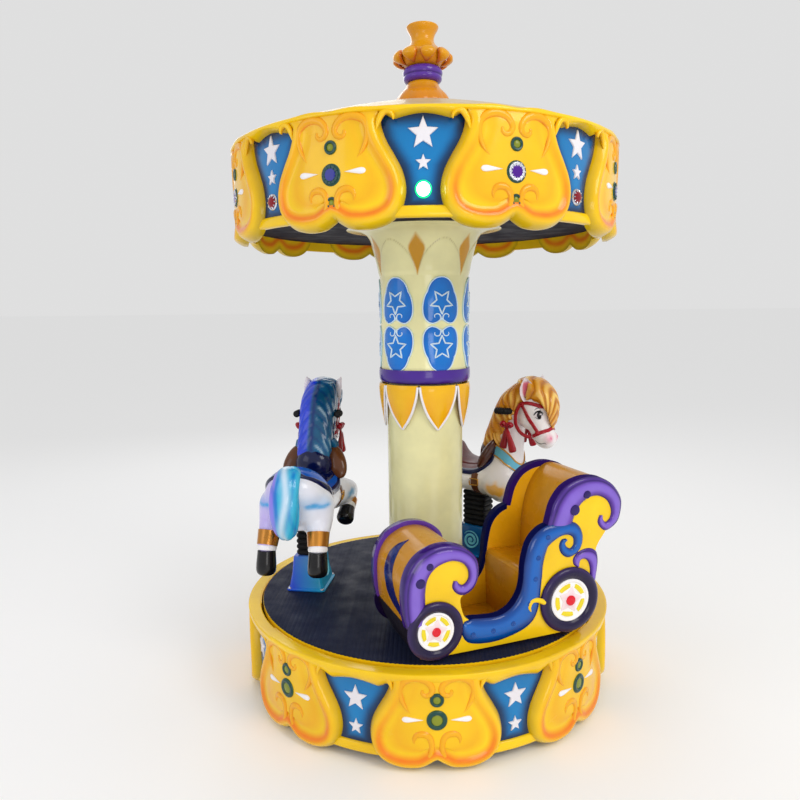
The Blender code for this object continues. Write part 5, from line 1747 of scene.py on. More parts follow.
def strap(form, skin, path, width, lift, material=0, closed=False):
    """A band laid on a body along a path near its skin."""
    sink = 0.004
    rough = smooth_path(path, 6, closed)
    count = len(rough)
    found = [skin.find_nearest(Vector(p)) for p in rough]
    spots = np.array([f[0] for f in found])
    normals = np.array([f[1] for f in found])
    for _ in range(3):
        before = np.roll(normals, 1, 0)
        after = np.roll(normals, -1, 0)
        if not closed:
            before[0] = normals[0]
            after[-1] = normals[-1]
        normals = normals + before + after
        normals /= np.linalg.norm(normals, axis=1)[:, None]
    along = np.roll(spots, -1, 0) - np.roll(spots, 1, 0) if closed else np.gradient(spots, axis=0)
    across = np.cross(normals, along)
    across /= np.linalg.norm(across, axis=1)[:, None] + 1e-12
    section = ((-0.5, -sink), (-0.5, lift * 0.55), (-0.42, lift * 0.95), (-0.2, lift), (0.0, lift * 1.05),
               (0.2, lift), (0.42, lift * 0.95), (0.5, lift * 0.55), (0.5, -sink))
    points = []
    for i in range(count):
        for offset, rise in section:
            target = spots[i] + across[i] * width * offset
            near = skin.find_nearest(Vector(target))[0]
            points.append(np.array(near) + normals[i] * rise)
    sides = len(section)
    form.add(points, grid_faces(count, sides, True, True) if closed else tube_faces(count, sides), material)


def on_skin(skin, anchor, right=(1, 0, 0)):
    """Bend a flat (along, up, out) shape on to a skin about an anchor."""
    anchor = np.asarray(anchor, float)
    right = np.asarray(right, float) / np.linalg.norm(right)
    up = np.array((0.0, 0.0, 1.0))
    outward = np.array(skin.find_nearest(Vector(anchor))[1])

    def bend(points):
        made = []
        for x, y, lift in points:
            target = anchor + right * x + up * y
            near, normal = skin.find_nearest(Vector(target))[:2]
            mean = np.array(normal) + outward
            made.append(np.array(near) + mean / np.linalg.norm(mean) * lift)
        return np.array(made)
    return bend


SHEET_AXIS = 0.29


def wrap_sheet(form, skin, spans, lift, columns, paints=lambda x, share: 0):
    """A sheet over the back: spans are (x, half angle in degrees).

    lift and paints give its thickness and its material from x and the share of the half angle."""
    spans = smooth_path(spans, 6)
    rows = len(spans)
    top = []
    under = []
    kinds = []
    for r, (x, half) in enumerate(spans):
        for c in range(columns):
            share = 2 * c / (columns - 1) - 1
            angle = math.radians(half) * share
            way = Vector((0, math.sin(angle), math.cos(angle)))
            near = skin.ray_cast(Vector((x, 0, SHEET_AXIS)), way)[0]
            top.append(near + way * lift(x, share))
            under.append(near - way * 0.004)
            if r < rows - 1 and c < columns - 1:
                kinds.append(paints(x, share + 1 / columns))
    faces = sheet_faces(rows, columns)
    kinds += [paints(spans[0][0], 1.0)] * (len(faces) - len(kinds))
    form.add([tuple(p) for p in top + under], faces, kinds)


def hoof(form, top, bottom, radii):
    shares = (0, 0.02, 0.25, 0.5, 0.7, 0.82, 0.9, 0.96, 1.0, 1.015)
    path = np.array([np.array(top) + (np.array(bottom) - np.array(top)) * t for t in shares])
    sizes = np.interp(shares, (0, 0.02, 0.25, 0.5, 0.7), np.array((0.82, 1.0, 1.04, 1.09, 1.1)) * radii[0])
    sizes[4:] = radii[1] * np.array((1.0, 0.97, 0.9, 0.78, 0.62, 0.4))
    sweep(form, path, sizes, sizes, sides=28)


HAIR = {
    "right": {"hair": "hair_gold", "tail": "hair_gold", "body": "horse_white_warm"},
    "left": {"hair": "hair_blue", "tail": "tail_blue", "body": "horse_white_cool"},
}


def body_masks(which, mesh):
    points = np.array([v.co for v in mesh.vertices])
    x, y, z = points.T
    wobble = 0.004 * np.sin(x * 160) + 0.003 * np.sin(z * 210 + y * 60)

    def spot(cx, cz, rx, rz):
        return np.exp(-(((x - cx) / rx) ** 2 + ((z - cz + wobble) / rz) ** 2) ** 1.4)
    side = np.clip((np.abs(y) - 0.045) / 0.03, 0, 1)
    if which == "right":
        warm = spot(0.108, 0.29, 0.04, 0.02) * side * 2.0 + spot(-0.185, 0.32, 0.055, 0.02) * side
        warm += np.exp(-((z - 0.4) / 0.03) ** 2) * (x < -0.2) * 0.7
        paint_mask(mesh, "orange", np.clip(warm, 0, 1))
    else:
        band = np.exp(-((z - 0.333 + wobble * 0.5) / 0.0075) ** 2)
        band *= ease(-x, 0.185, 0.225)
        band *= ease(np.abs(y), 0.04, 0.06)
        soft = 0.35 * np.exp(-((z - 0.345) / 0.022) ** 2)
        soft *= ease(-x, 0.16, 0.22)
        soft *= ease(np.abs(y), 0.02, 0.045)
        cool = band + soft + spot(0.108, 0.29, 0.034, 0.017) * side
        paint_mask(mesh, "orange", np.clip(cool, 0, 1))
        paint_mask(mesh, "gold", np.clip(ease(-x, 0.15, 0.24) * ease(y, -0.02, 0.1), 0, 1) * 0.9)
    to_nostril = ((x - 0.276) / 0.017) ** 2 + ((z - 0.484) / 0.014) ** 2 + ((np.abs(y) - 0.026) / 0.014) ** 2
    paint_mask(mesh, "olive", np.clip(np.exp(-to_nostril) * 1.1, 0, 1))


def hair_shell(form, rows, turn, locks, tints, relief):
    """Moulded hair over a crest, open underneath.

    locks gives the phase of the carved locks from the distances along the crest and across from it. tints
    turns the side, the height of the lock and both distances into paint masks."""
    path = smooth_path(rows, 7)
    columns = 67
    along = directions(path[:, :2])
    outward = turn * np.column_stack([along[:, 1], -along[:, 0]])
    gone = distances(path[:, :2])[:, None]
    half, crown, side = (path[:, k][:, None] for k in (2, 3, 4))
    quarter = math.pi / 2 * np.sqrt((half ** 2 + crown ** 2) / 2)
    tips = np.abs(np.cos(locks(gone, quarter + side)))
    reach = quarter + side * (0.84 + 0.2 * tips)
    share = np.linspace(-1, 1, columns)[None, :]
    across = np.abs(share) * reach
    angle = np.minimum(across / quarter, 1.0) * math.pi / 2
    lock = np.abs(np.cos(locks(gone, across)))
    parting = ease(across, 0.0, 0.01)
    lift = relief * (lock ** 0.6 - 0.75) * parting - 0.007 * ease(across, reach - 0.011, reach + 0.002)
    rise = np.where(across < quarter, crown * np.cos(angle), quarter - across) - crown
    rise = rise + lift * np.cos(angle)
    y = np.sign(share) * (half + lift) * np.sin(angle)
    inner_rise = np.where(across < quarter, crown * np.cos(angle) * 0.5, quarter - across) - crown
    layers = []
    for up, wide in ((rise, y), (inner_rise, y * 0.55)):
        layer = np.stack([path[:, :1] + outward[:, :1] * up, wide, path[:, 1:2] + outward[:, 1:] * up],
                         axis=-1)
        layers.append(layer.reshape(-1, 3))
    points = np.vstack(layers)
    masks = {}
    for name, value in tints(y, lock, gone + 0 * y, across).items():
        masks[name] = np.r_[value.ravel(), value.ravel()]
    form.add(points, sheet_faces(len(path), columns), 0, **masks)


def tail_of(form, tints):
    """The tail: a closed body with wavy locks carved along it."""
    locks = 5
    relief = 0.0034
    sides = 56
    path = smooth_path(TAIL, 7)
    along = directions(path[:, :2])
    t = np.linspace(0, 1, len(path))[:, None]
    a = circle(sides)[None, :]
    lock = np.abs(np.cos(locks / 2 * a + 1.3 * np.sin(7.0 * t + a)))
    lift = relief * (lock ** 0.6 - 0.75) * ease(np.minimum(t, 1 - t), 0.0, 0.06)
    y = (path[:, 2:3] + lift) * np.cos(a) + 0.008 * ease(t, 0.0, 0.4)
    out = (path[:, 3:4] + lift) * np.sin(a)
    points = np.stack([path[:, :1] + along[:, 1:] * out, y, path[:, 1:2] - along[:, :1] * out], axis=-1)
    masks = {name: value.ravel() for name, value in tints(y, lock, t + 0 * y, out).items()}
    form.add(points.reshape(-1, 3), tube_faces(len(path), sides), 0, **masks)


def gold_tints(y, lock, along, across):
    # olive is painted shade in the grooves between locks, gold a painted highlight along their crests.
    bright = ease(lock, 0.7, 1.0) * (0.45 + 0.55 * np.sin(along * 62 + across * 38))
    return {"olive": 0.85 * (1 - ease(lock, 0.05, 0.55)), "gold": np.clip(bright, 0, 1)}


def forelock_tints(y, lock, along, across):
    # olive is painted shade in the grooves between locks, gold a painted highlight along their crests.
    bright = ease(lock, 0.6, 0.95) * (0.7 + 0.3 * np.sin(along * 40 + 1))
    return {"olive": 0.75 * (1 - ease(lock, 0.05, 0.5)), "gold": np.clip(bright, 0, 1)}


def blue_tints(y, lock, along, across):
    """Violet on the left, a navy streak, and dark teal on the right with white strokes laid on the lock
    crests as a painted highlight. The grooves get painted shade.
    """
    streak = np.exp(-((y - 0.004) / 0.008) ** 2)
    grooves = 0.7 * (1 - ease(lock, 0.05, 0.6)) * (0.4 + 0.6 * ease(-y, 0.0, 0.02))
    strokes = ease(lock, 0.9, 0.995) * ease(np.sin(along * 46 + across * 26), 0.1, 0.9)
    strokes = strokes * ease(-y, 0.004, 0.016)
    return {"orange": ease(y, 0.01, 0.024), "olive": np.clip(streak + grooves, 0, 1),
            "gold": 0.75 * strokes}


def tail_blue_tints(y, lock, along, across):
    """Lilac on the left, blue streaks and white waves, cyan on the right. The grooves get painted shade."""
    wave = 0.01 * np.sin(along * 11)
    lilac = ease(y, 0.024, 0.036)
    white = np.exp(-((y - 0.004 - wave) / 0.011) ** 2) * ease(along, 0.02, 0.15)
    streak = np.exp(-((y - 0.022 + wave * 0.6) / 0.007) ** 2)
    streak += 0.5 * np.exp(-((y + 0.016 + wave) / 0.006) ** 2)
    grooves = 0.5 * (1 - ease(lock, 0.05, 0.5))
    return {"orange": lilac, "olive": np.clip((streak + grooves) * (1 - white), 0, 1), "gold": white}


def make_hair(which, matrix, body):
    left = which == "left"
    finishes = HAIR[which]
    form = Form()
    pitch = 0.046 if left else 0.038

    def mane_locks(along, across):
        return math.pi * (along - 1.25 * across + 0.008 * np.sin(across * 70)) / pitch

    def forelock_locks(along, across):
        slant = np.interp(along, (0, 0.13, 0.22), (0.2, 0.7, 2.2))
        return math.pi * (along - slant * across + 0.007 * np.sin(across * 75)) / 0.04
    hair_shell(form, MANE, 1, mane_locks, blue_tints if left else gold_tints, 0.0026 if left else 0.0046)
    for side in (1, -1):
        for shift in (0.0, 0.013, 0.025):
            lock = [(0.058 + shift, side * 0.058, 0.49), (0.07 + shift, side * 0.066, 0.462 + shift * 0.3),
                    (0.083 + shift, side * 0.066, 0.44 + shift * 0.5)]
            strand(form, lock, 0.0105, flat=0.6, gold=0.0 if left else 0.3 + 12 * shift)
    form.make(f"{which}_mane", body, [finishes["hair"]], "white_gelcoat", matrix, smooth=75)
    form = Form()
    hair_shell(form, FORELOCK, -1, forelock_locks, blue_tints if left else forelock_tints,
               0.003 if left else 0.0048)
    form.make(f"{which}_forelock", body, [finishes["hair"]], "white_gelcoat", matrix, smooth=75)
    form = Form()
    tail_of(form, tail_blue_tints if left else gold_tints)
    form.make(f"{which}_tail", body, [finishes["tail"]], "white_gelcoat", matrix, smooth=75)


def make_ear(form, side):
    """A leaf shaped ear, hollow on the side that faces out and forward, pink inside."""
    base, tip = sided([(0.203, 0.047, 0.616), (0.197, 0.062, 0.7)], side)
    up = (tip - base) / np.linalg.norm(tip - base)
    facing = np.array((0.5, side * 0.87, 0.0))
    facing -= up * (facing @ up)
    facing /= np.linalg.norm(facing)
    wide = np.cross(up, facing)
    rows = 30
    columns = 25
    t = np.linspace(0, 1, rows)[:, None]
    v = np.linspace(-1, 1, columns)[None, :]
    half = np.interp(t, (0, 0.12, 0.35, 0.6, 0.8, 0.93, 1),
                     (0.018, 0.023, 0.027, 0.024, 0.0155, 0.007, 0.0008))
    cup = np.interp(t, (0, 0.1, 0.4, 0.8, 1), (0.002, 0.009, 0.012, 0.006, 0.0))
    hollow = -cup * (1 - np.abs(v) ** 2.4)
    behind = hollow - 0.007 * np.sqrt(1 - v ** 2 * 0.999) * ease(1 - t, 0.0, 0.15) - 0.0006
    length = np.linalg.norm(tip - base)
    points = []
    for depth in (hollow, behind):
        flat = base + up * (t * length)[..., None] + wide * (half * v)[..., None]
        points.append((flat + facing * (depth + 0.004)[..., None]).reshape(-1, 3))
    pink = ease(0.72 - np.abs(v), 0.0, 0.2) * ease(t, 0.1, 0.25) * ease(0.88 - t, 0.0, 0.15)
    form.add(np.vstack(points), sheet_faces(rows, columns), 0, gold=np.r_[pink.ravel(), 0 * pink.ravel()])


def make_face(which, skin, matrix, body):
    """Ears, eyes with their lashes and brows, mouth and nostrils."""
    for side in (1, -1):
        hand = "far" if side > 0 else "near"
        form = Form()
        make_ear(form, side)
        form.make(f"{which}_ear_{hand}", body, ["ear_white"], "white_gelcoat", matrix, smooth=60)
        form = Form()

        def line(points, widths, bend, level=0.0):
            ridge(form, smooth_path(points, 5), widths, (0.0012,), bend, level, 0, 6)
        eye = on_skin(skin, (0.248, side * 0.05, 0.566), (1, 0, -0.05))
        pillow(form, ellipse(0.0176, 0.012, 32), [(1.0, -0.001), (0.96, 0.0012), (0.6, 0.002),
                                                  (0.2, 0.0022)], eye, 1)
        pillow(form, ellipse(0.0122, 0.0126, 28, (0.0005, 0.0)),
               [(1.0, 0.0008), (0.95, 0.0026), (0.5, 0.0034), (0.2, 0.0036)], eye, 0, (0.0005, 0.0))
        # A white dot on the iris: a painted highlight.
        pillow(form, ellipse(0.0034, 0.0034, 14, (0.0045, 0.0052)),
               [(1.0, 0.0028), (0.8, 0.0042), (0.3, 0.0044)], eye, 1, (0.0045, 0.0052))
        lid = smooth_path([(-0.0225, -0.001), (-0.015, 0.0095), (-0.001, 0.0155), (0.013, 0.012),
                           (0.0225, 0.002)], 6)
        ridge(form, lid, (0.002, 0.0055, 0.0066, 0.0055, 0.002), (0.0026,), eye, 0.0014, 0, 8)
        for i in range(5):
            start = np.array((0.002 + 0.0046 * i, 0.016 - 0.0024 * i))
            ridge(form, np.array([start, start + (0.004, 0.0042), start + (0.0092, 0.0062)]),
                  (0.0024, 0.0018, 0.0008), (0.0012,), eye, 0.0014, 0, 6)
        line([(-0.018, -0.007), (-0.006, -0.0128), (0.01, -0.0118)], (0.0008, 0.0022, 0.001), eye, 0.001)
        line([(-0.022, 0.017), (-0.008, 0.0265), (0.01, 0.0265)], (0.001, 0.0032, 0.001), eye)
        mouth = on_skin(skin, (0.246, side * 0.04, 0.464))
        line([(-0.026, 0.008), (-0.012, 0.001), (0.004, -0.002), (0.016, 0.002), (0.024, -0.006)],
             (0.0012, 0.003, 0.003, 0.0024, 0.0012), mouth)
        nostril = on_skin(skin, (0.284, side * 0.026, 0.486), (1, side * -0.5, 0))
        pillow(form, ellipse(0.005, 0.0068, 20), [(1.0, -0.0012), (0.9, 0.0003), (0.4, 0.0005)], nostril, 2)
        form.make(f"{which}_eye_{hand}", body, ["black", "ear_white", "pink"], "dark_paint", matrix)


def make_bridle(which, skin, matrix, body):
    """Headpiece with studs, knots and tassels."""
    form = Form()
    wide = 0.0128
    lift = 0.0036
    brow = [(0.15, 0.052, 0.583), (0.177, 0.058, 0.605), (0.211, 0.057, 0.608), (0.25, 0.046, 0.601),
            (0.272, 0.022, 0.597)]
    nose = [(0.24, 0.046, 0.501), (0.264, 0.042, 0.511), (0.285, 0.026, 0.519)]
    chin = [(0.211, 0.042, 0.485), (0.199, 0.022, 0.477)]
    far = np.array((1, -1, 1))
    strap(form, skin, brow + [(0.277, 0.0, 0.596)] + [far * p for p in brow[::-1]], wide, lift)
    noseband = [(0.292, 0.0, 0.523)] + nose[::-1] + chin + [(0.196, 0.0, 0.474)]
    noseband += [far * p for p in chin[::-1] + nose]
    strap(form, skin, noseband, wide, lift, closed=True)
    for side in (1, -1):
        cheek = [(0.178, 0.058, 0.6), (0.202, 0.057, 0.562), (0.222, 0.05, 0.528), (0.24, 0.046, 0.501)]
        strap(form, skin, sided(cheek, side), wide, lift)
        loop = [(0.176, 0.06, 0.603), (0.158, 0.0575, 0.566), (0.157, 0.0555, 0.53), (0.172, 0.053, 0.503),
                (0.192, 0.049, 0.489), (0.212, 0.045, 0.486)]
        hanging = smooth_path(sided(loop, side), 8)
        sweep(form, hanging, np.full(len(hanging), 0.0032), np.full(len(hanging), wide / 2), sides=16,
              power=3.0)
        for spot in sided([(0.178, 0.057, 0.602), (0.238, 0.046, 0.502)], side):
            bend = on_skin(skin, spot)
            turned(form, [(0.009, -0.001), (0.009, 0.0045), (0.006, 0.0064), (0.0015, 0.0068)], bend, 20)
        knot = np.array((0.131, side * 0.073, 0.52))
        form.add(*ellipsoid(knot, (0.0105, 0.0085, 0.0095), 18), 1)
        for dx, dz in ((-0.021, 0.013), (0.022, 0.011)):
            strand(form, [knot, knot + (dx * 0.5, side * 0.006, dz * 1.15),
                          knot + (dx, side * 0.003, dz * 0.6), knot + (dx * 0.6, side * 0.003, -0.003)],
                   0.01, flat=0.7, ends=(0.5, 0.4))
        for end, tassel in (((0.116, side * 0.075, 0.44), 1), ((0.16, side * 0.078, 0.429), 0)):
            end = np.array(end)
            cord = smooth_path([knot, knot * 0.72 + end * 0.28 + (0, side * 0.003, 0),
                                knot * 0.35 + end * 0.65, end], 7)
            t = np.linspace(0, 1, len(cord))
            size = np.interp(t, (0, 0.22, 0.3, 0.36, 0.85, 0.97, 1),
                             (0.004, 0.0055, 0.0095, 0.0085, 0.015, 0.0135, 0.008))
            sweep(form, cord, size, size * 0.62, hint=(1, 0, 0), sides=20, material=tassel)
    form.make(f"{which}_bridle", body, ["red", "dark_red"], "dark_paint", matrix, smooth=50)


BLANKET = [(-0.252, 3), (-0.246, 12), (-0.236, 22), (-0.22, 33), (-0.195, 46), (-0.165, 56), (-0.135, 62),
           (-0.1, 66), (-0.05, 68), (0.0, 67), (0.03, 59), (0.052, 49), (0.072, 36), (0.082, 24)]


def make_saddle(which, skin, matrix, body):
    """Blanket, padded saddle with its pommel and knee rolls, girth and chest band."""
    right = which == "right"
    form = Form()

    def to_edge(x, share):
        return min((1 - abs(share)) * 0.1, x + 0.252, 0.082 - x)

    def piping(x, share):
        """Thickness of the blanket: a rounded hem, a groove inside it and the flat field."""
        edge = to_edge(x, share)
        hem = math.exp(-((edge - 0.01) / 0.0065) ** 2)
        return 0.003 + 0.0032 * float(ease(edge, 0.0, 0.006)) + 0.0026 * hem
    wrap_sheet(form, skin, BLANKET, piping, 65, lambda x, share: 1 if to_edge(x, share) < 0.0175 else 0)
    form.make(f"{which}_blanket", body, ["seat_red" if right else "blanket", "navy"], "blue_gelcoat",
              matrix, smooth=60)
    form = Form()

    def padding(x, share):
        rolled = 0.006 * float(ease(x, -0.15, -0.132)) * float(ease(1 - abs(share), 0.0, 0.16))
        cantle = 0.003 * math.exp(-((x + 0.138) / 0.01) ** 2) * float(ease(1 - abs(share), 0.0, 0.3))
        return 0.004 + rolled + cantle
    seat = [(-0.152, 14), (-0.144, 28), (-0.125, 38), (-0.09, 42), (-0.04, 44), (0.01, 46), (0.05, 44)]
    wrap_sheet(form, skin, seat, padding, 45)
    points, faces = ellipsoid((0.034, 0.0, 0.405), (0.044, 0.064, 0.066), 36)
    points[:, 2] -= 0.004 * np.exp(-(points[:, 1] / 0.012) ** 2) * (points[:, 2] > 0.44)
    form.add(points, faces, 1)
    for side in (1, -1):
        low = Vector((0.03, side * 0.1, 0.362))
        high = Vector((0.078, side * 0.054, 0.466))
        up = (high - low).normalized()
        wide = (Vector((0, 1, 0)) - up * up.y).normalized()
        turn = Matrix((up.cross(wide), wide, up))
        points, faces = ellipsoid((0, 0, 0), (0.018, 0.033, 0.064), 28)
        form.add(points @ np.array(turn) + np.array((low + high) / 2), faces, 2)
    leathers = ["seat_red", "pommel", "pommel"] if right else ["navy", "navy", "brown"]
    form.make(f"{which}_saddle", body, leathers, "dark_paint", matrix, smooth=60)
    form = Form()
    for side in (1, -1):
        girth = [(0.012, 0.108, 0.345), (0.012, 0.106, 0.305), (0.011, 0.09, 0.268), (0.01, 0.055, 0.25)]
        strap(form, skin, sided(girth, side), 0.026, 0.0042)
        bend = on_skin(skin, (0.012, side * 0.106, 0.306))
        buckle = np.array([(-0.017, 0.012), (0.017, 0.012), (0.017, -0.012), (-0.017, -0.012)])
        ridge(form, divided(buckle, 3), (0.0042,), (0.0035,), bend, 0.005, 1, 8)
    half = [(0.156, 0.038, 0.368), (0.14, 0.064, 0.392), (0.115, 0.078, 0.412), (0.088, 0.078, 0.426),
            (0.05, 0.066, 0.438)]
    chest = [(0.162, 0.0, 0.355)] + half + [(0.02, 0.0, 0.445)] + [(x, -y, z) for x, y, z in half[::-1]]
    strap(form, skin, chest, 0.034, 0.0036, 2, closed=True)
    for shift in (0.019, -0.019):
        edge = [(x + shift * 0.45, y, z + shift * 0.88) for x, y, z in chest]
        strap(form, skin, edge, 0.006, 0.005, 1, closed=True)
    form.make(f"{which}_girth_and_band", body, ["brown", "gold_trim", "band_blue"], "dark_paint", matrix,
              smooth=60)


def make_feet(which, matrix, body):
    """Golden cuffs and white fetlocks over black hooves."""
    form = Form()

    def joint(start, end, sizes, material):
        sweep(form, np.array([start, (start + end) / 2, end]), sizes, sizes, sides=28, material=material)
    for side in (1, -1):
        bone = sided([(-0.2215, 0.08, 0.2445), (-0.2405, 0.083, 0.203), (-0.245, 0.0835, 0.189),
                      (-0.257, 0.084, 0.112)], side)
        cuff = smooth_path([bone[0], bone[0] * 0.5 + bone[1] * 0.5, bone[1]], 3)
        size = np.linspace(0.0365, 0.0325, len(cuff))
        sweep(form, cuff, size, size, sides=32, material=1)
        joint(bone[1], bone[2], (0.03, 0.0316, 0.0296), 2)
        hoof(form, bone[2], bone[3], (0.0288, 0.0318))
    for side, top, mid, low in ((-1, (0.16, 0.0895, 0.23), (0.147, 0.09, 0.219), (0.098, 0.09, 0.184)),
                                (1, (0.217, 0.082, 0.216), (0.219, 0.082, 0.2), (0.226, 0.082, 0.14))):
        top, mid, low = sided([top, mid, low], side)
        start = top + (top - mid) * 1.3
        joint(start, top, (0.0325, 0.032, 0.0305), 1)
        joint(top, mid, (0.0285, 0.03, 0.0285), 2)
        hoof(form, mid, low, (0.028, 0.0315))
    form.make(f"{which}_hooves", body, ["black", "gold_metal", "horse_white"], "dark_paint", matrix,
              smooth=50)


def make_bar(which, matrix, body):
    """The handlebar: a plain bar through the neck and two ribbed rubber grips that turn back."""
    form = Form()
    corners = GRIP + [(x, -y) for x, y in reversed(GRIP)]
    path = resample(smooth_path([(x, y, BAR_HEIGHT) for x, y in corners], 12), 290)
    steps = distances(path)
    to_end = np.minimum(steps, steps[-1] - steps)
    grip = 1 - ease(to_end, 0.056, 0.062)
    ribs = 0.0018 * grip * np.sin(to_end * math.pi / 0.0085) ** 2
    size = BAR_RADIUS + (GRIP_RADIUS - BAR_RADIUS) * grip - ribs
    size = size * np.sqrt(np.clip(to_end / 0.004 + 0.15, 0, 1))
    sweep(form, path, size, size, hint=(0, 0, 1), sides=18)
    bar = form.make(f"{which}_grips", body, ["rubber"], "black_rubber", matrix, smooth=50)
    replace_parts(bar, f"{which}_handlebar")


BELLOWS_LOW = 0.1153
BELLOWS_HIGH = 0.2497
PLEATS = 7
PEDESTAL_TOP = 0.115
CORNER_STEPS = 6
RING_COUNT = 4 * (CORNER_STEPS + 1)


def rectangle(half_x, half_y, z, corner):
    """A level rectangle with rounded corners about the pedestal's axis."""
    made = []
    for i, (sx, sy) in enumerate(((1, 1), (-1, 1), (-1, -1), (1, -1))):
        for k in range(CORNER_STEPS + 1):
            a = math.pi / 2 * (i + k / CORNER_STEPS)
            made.append((PEDESTAL_X + sx * (half_x - corner) + corner * math.cos(a),
                         sy * (half_y - corner) + corner * math.sin(a), z))
    return made


def make_pedestal(which, matrix):
    """A moulded pedestal with a foot flange, bolts and a scroll on each side."""
    form = Form()
    levels = [(0.0785, 0.0645, 0.0003, 0.012), (0.0798, 0.0658, 0.0016, 0.013),
              (0.0798, 0.0658, 0.0055, 0.013), (0.0775, 0.0635, 0.0072, 0.014),
              (0.0735, 0.0595, 0.009, 0.014), (0.07, 0.056, 0.03, 0.013), (0.065, 0.051, 0.055, 0.012),
              (0.0622, 0.0482, 0.085, 0.011), (0.06, 0.046, 0.109, 0.01), (0.0592, 0.0452, 0.1135, 0.01),
              (0.0575, 0.0435, PEDESTAL_TOP - 0.0001, 0.01)]
    points = np.array([p for level in levels for p in rectangle(*level)])
    # olive is painted shade on the rounded corners; gold lightens the middle of each face.
    corner = np.abs(points[:, 0] - PEDESTAL_X) / 0.08 + np.abs(points[:, 1]) / 0.066
    corner = np.clip(corner - 1.0, 0, 1) * 1.6
    dark = np.clip(corner, 0, 1) * (points[:, 2] > 0.01)
    form.add(points, tube_faces(len(levels), RING_COUNT), 0, olive=dark,
             gold=np.clip(1.2 - corner * 2, 0, 1), orange=ease(points[:, 1], 0.02, 0.045))
    for side in (1, -1):
        def panel(flat, side=side):
            y = np.interp(flat[:, 1], (0.01, 0.03, 0.055, 0.085, 0.11),
                          (0.0592, 0.056, 0.051, 0.0482, 0.046))
            return np.column_stack([PEDESTAL_X + flat[:, 0], side * (y + flat[:, 2]), flat[:, 1]])
        turns = np.linspace(0, 2.4 * 2 * math.pi, 70)
        size = 0.0035 + 0.033 * (turns / turns[-1])
        spiral = np.column_stack([size * np.cos(turns), 0.06 + size * 0.95 * np.sin(turns)])
        ridge(form, spiral, (0.004, 0.007, 0.01, 0.01, 0.007, 0.003),
              (0.0024, 0.0036, 0.0044, 0.0044, 0.002), panel, -0.0002, 1, 8)
        turned(form, [(0.0075, -0.001), (0.007, 0.003), (0.003, 0.0048)], shifted(panel, (0, 0.06, 0)), 16,
               1)
    for sx in (1, -1):
        for sy in (1, -1):
            def bolt(flat, sx=sx, sy=sy):
                return np.column_stack([PEDESTAL_X + sx * 0.0715 + flat[:, 0], sy * 0.056 + flat[:, 1],
                                        0.0053 + flat[:, 2]])
            turned(form, [(0.0065, 0), (0.0065, 0.0036), (0.005, 0.0052), (0.002, 0.0056)], bolt, 12, 2)
    stand = form.make(f"{which}_stand", "turntable", [f"stand_{which}", "stand_relief", "steel"],
                      "blue_gelcoat", matrix, smooth=45)
    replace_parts(stand, f"{which}_pedestal")


def make_boot(which, matrix):
    """The pleated rubber boot, whose foot stands on the pedestal and whose top meets the horse."""
    rows = []
    levels = PLEATS * 6 + 1
    for step in range(levels):
        t = step / (levels - 1)
        bulge = 0.0068 * abs(math.sin(math.pi * PLEATS * t)) ** 0.8
        rows += rectangle(0.0438 + bulge, 0.0318 + bulge, BELLOWS_LOW + (BELLOWS_HIGH - BELLOWS_LOW) * t,
                          0.009 + bulge)
    mesh = mesh_of(f"{which}_boot", rows, tube_faces(levels, RING_COUNT))
    only_paint(mesh, "rubber")
    shade(mesh, 50)
    mesh.transform(matrix)
    boot = linked(f"{which}_boot", mesh)
    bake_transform(boot)
    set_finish(boot, "black_rubber")
    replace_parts(boot, f"{which}_bellows")


def make_horses():
    first = fused_body()
    skin = skin_of(first)
    for which, (distance, azimuth, heading) in SEATS.items():
        matrix = Matrix.Translation((distance * math.cos(azimuth), distance * math.sin(azimuth), MAT_TOP))
        matrix = matrix @ Matrix.Rotation(heading, 4, "Z")
        body = f"{which}_horse"
        mesh = first.copy()
        body_masks(which, mesh)
        only_paint(mesh, HAIR[which]["body"])
        mesh.shade_smooth()
        coat = place(f"{which}_horse", mesh, body, "white_gelcoat", matrix)
        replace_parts(coat, f"{which}_horse_body")
        make_hair(which, matrix, body)
        make_face(which, skin, matrix, body)
        make_bridle(which, skin, matrix, body)
        make_saddle(which, skin, matrix, body)
        make_feet(which, matrix, body)
        make_bar(which, matrix, body)
        make_pedestal(which, matrix)
        make_boot(which, matrix)
        only_paint(frame["nodes"][f"{which}_lift_post"].data, "steel")


# Floor, lights and camera

FLOOR_WIDTH = 800.0
SKY_STRENGTH = 0.74
LIT_PLACE = (0, 0, 1.0)
# Name, place, size, power and colour
LIGHTS = (
    ("key", (2.4, -2.6, 3.4), 1.8, 52, (1.0, 0.97, 0.92)),
    ("fill", (-3.0, -2.2, 2.2), 1.8, 14, (0.9, 0.9, 1.0)),
    ("back", (-1.0, 3.2, 3.2), 2.2, 22, (1.0, 1.0, 1.0)),
    ("low", (0.6, -3.2, 0.9), 0.9, 9, (1.0, 0.98, 0.95)),
)


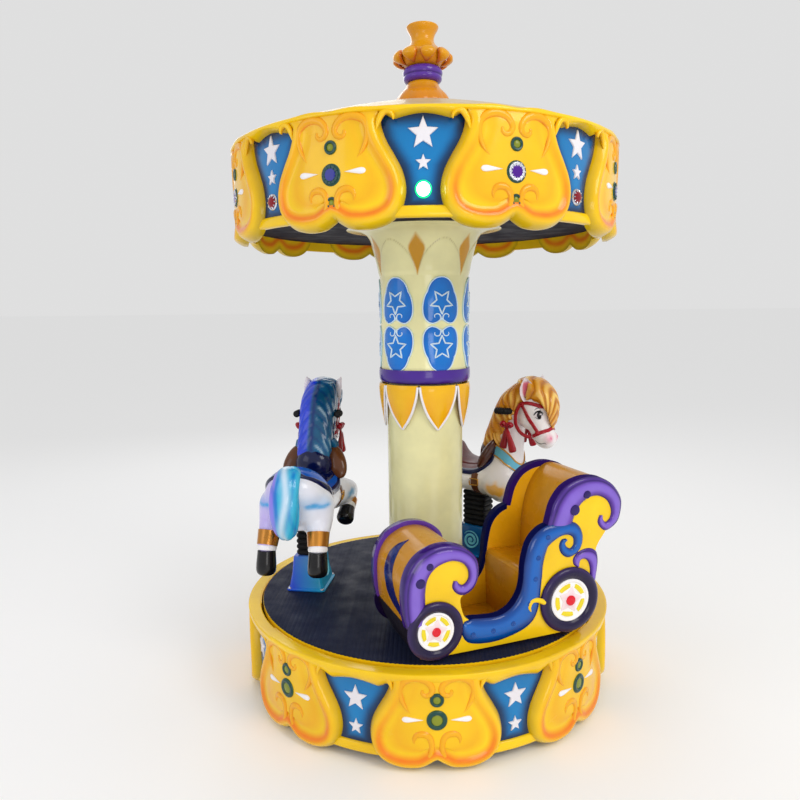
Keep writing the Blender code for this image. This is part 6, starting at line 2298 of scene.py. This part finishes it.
def make_studio():
    material = bpy.data.materials.new("studio_floor")
    material.use_nodes = True
    shader = material.node_tree.nodes["Principled BSDF"]
    shader.inputs["Base Color"].default_value = (0.97, 0.97, 0.97, 1.0)
    shader.inputs["Roughness"].default_value = 0.9
    shader.inputs["Specular IOR Level"].default_value = 0.0
    half = FLOOR_WIDTH / 2
    corners = [(-half, -half, 0), (half, -half, 0), (half, half, 0), (-half, half, 0)]
    mesh = mesh_of("studio_floor", corners, [(0, 1, 2, 3)])
    mesh.materials.append(material)
    floor = linked("studio_floor", mesh)
    world = bpy.data.worlds.new("studio")
    world.use_nodes = True
    background = world.node_tree.nodes["Background"]
    background.inputs["Color"].default_value = (1.0, 1.0, 1.0, 1.0)
    background.inputs["Strength"].default_value = SKY_STRENGTH
    bpy.context.scene.world = world
    bpy.context.scene.view_settings.view_transform = "Standard"
    for name, spot, size, power, colour in LIGHTS:
        light = bpy.data.lights.new(name, "AREA")
        light.size = size
        light.energy = power
        light.color = colour
        item = linked(name, light)
        item.location = spot
        item.rotation_euler = (Vector(LIT_PLACE) - Vector(spot)).to_track_quat("-Z", "Y").to_euler()


def make_camera():
    yaw = CAMERA_YAW
    pitch = CAMERA_PITCH
    forward = Vector((-math.sin(yaw) * math.cos(pitch), math.cos(yaw) * math.cos(pitch), -math.sin(pitch)))
    right = Vector((math.cos(yaw), math.sin(yaw), 0))
    up = right.cross(forward)
    across = right * math.cos(CAMERA_ROLL) - up * math.sin(CAMERA_ROLL)
    upright = right * math.sin(CAMERA_ROLL) + up * math.cos(CAMERA_ROLL)
    matrix = Matrix((across, upright, -forward)).transposed().to_4x4()
    matrix.translation = CAMERA_PLACE
    data = bpy.data.cameras.new("camera")
    data.lens = CAMERA_LENS
    data.sensor_width = SENSOR_WIDTH
    camera = linked("camera", data)
    camera.matrix_world = matrix
    bpy.context.scene.camera = camera


def main():
    make_camera()
    make_studio()
    make_base_and_deck()
    make_drums()
    make_lamps()
    make_column()
    make_top()
    make_car()
    make_horses()


main()
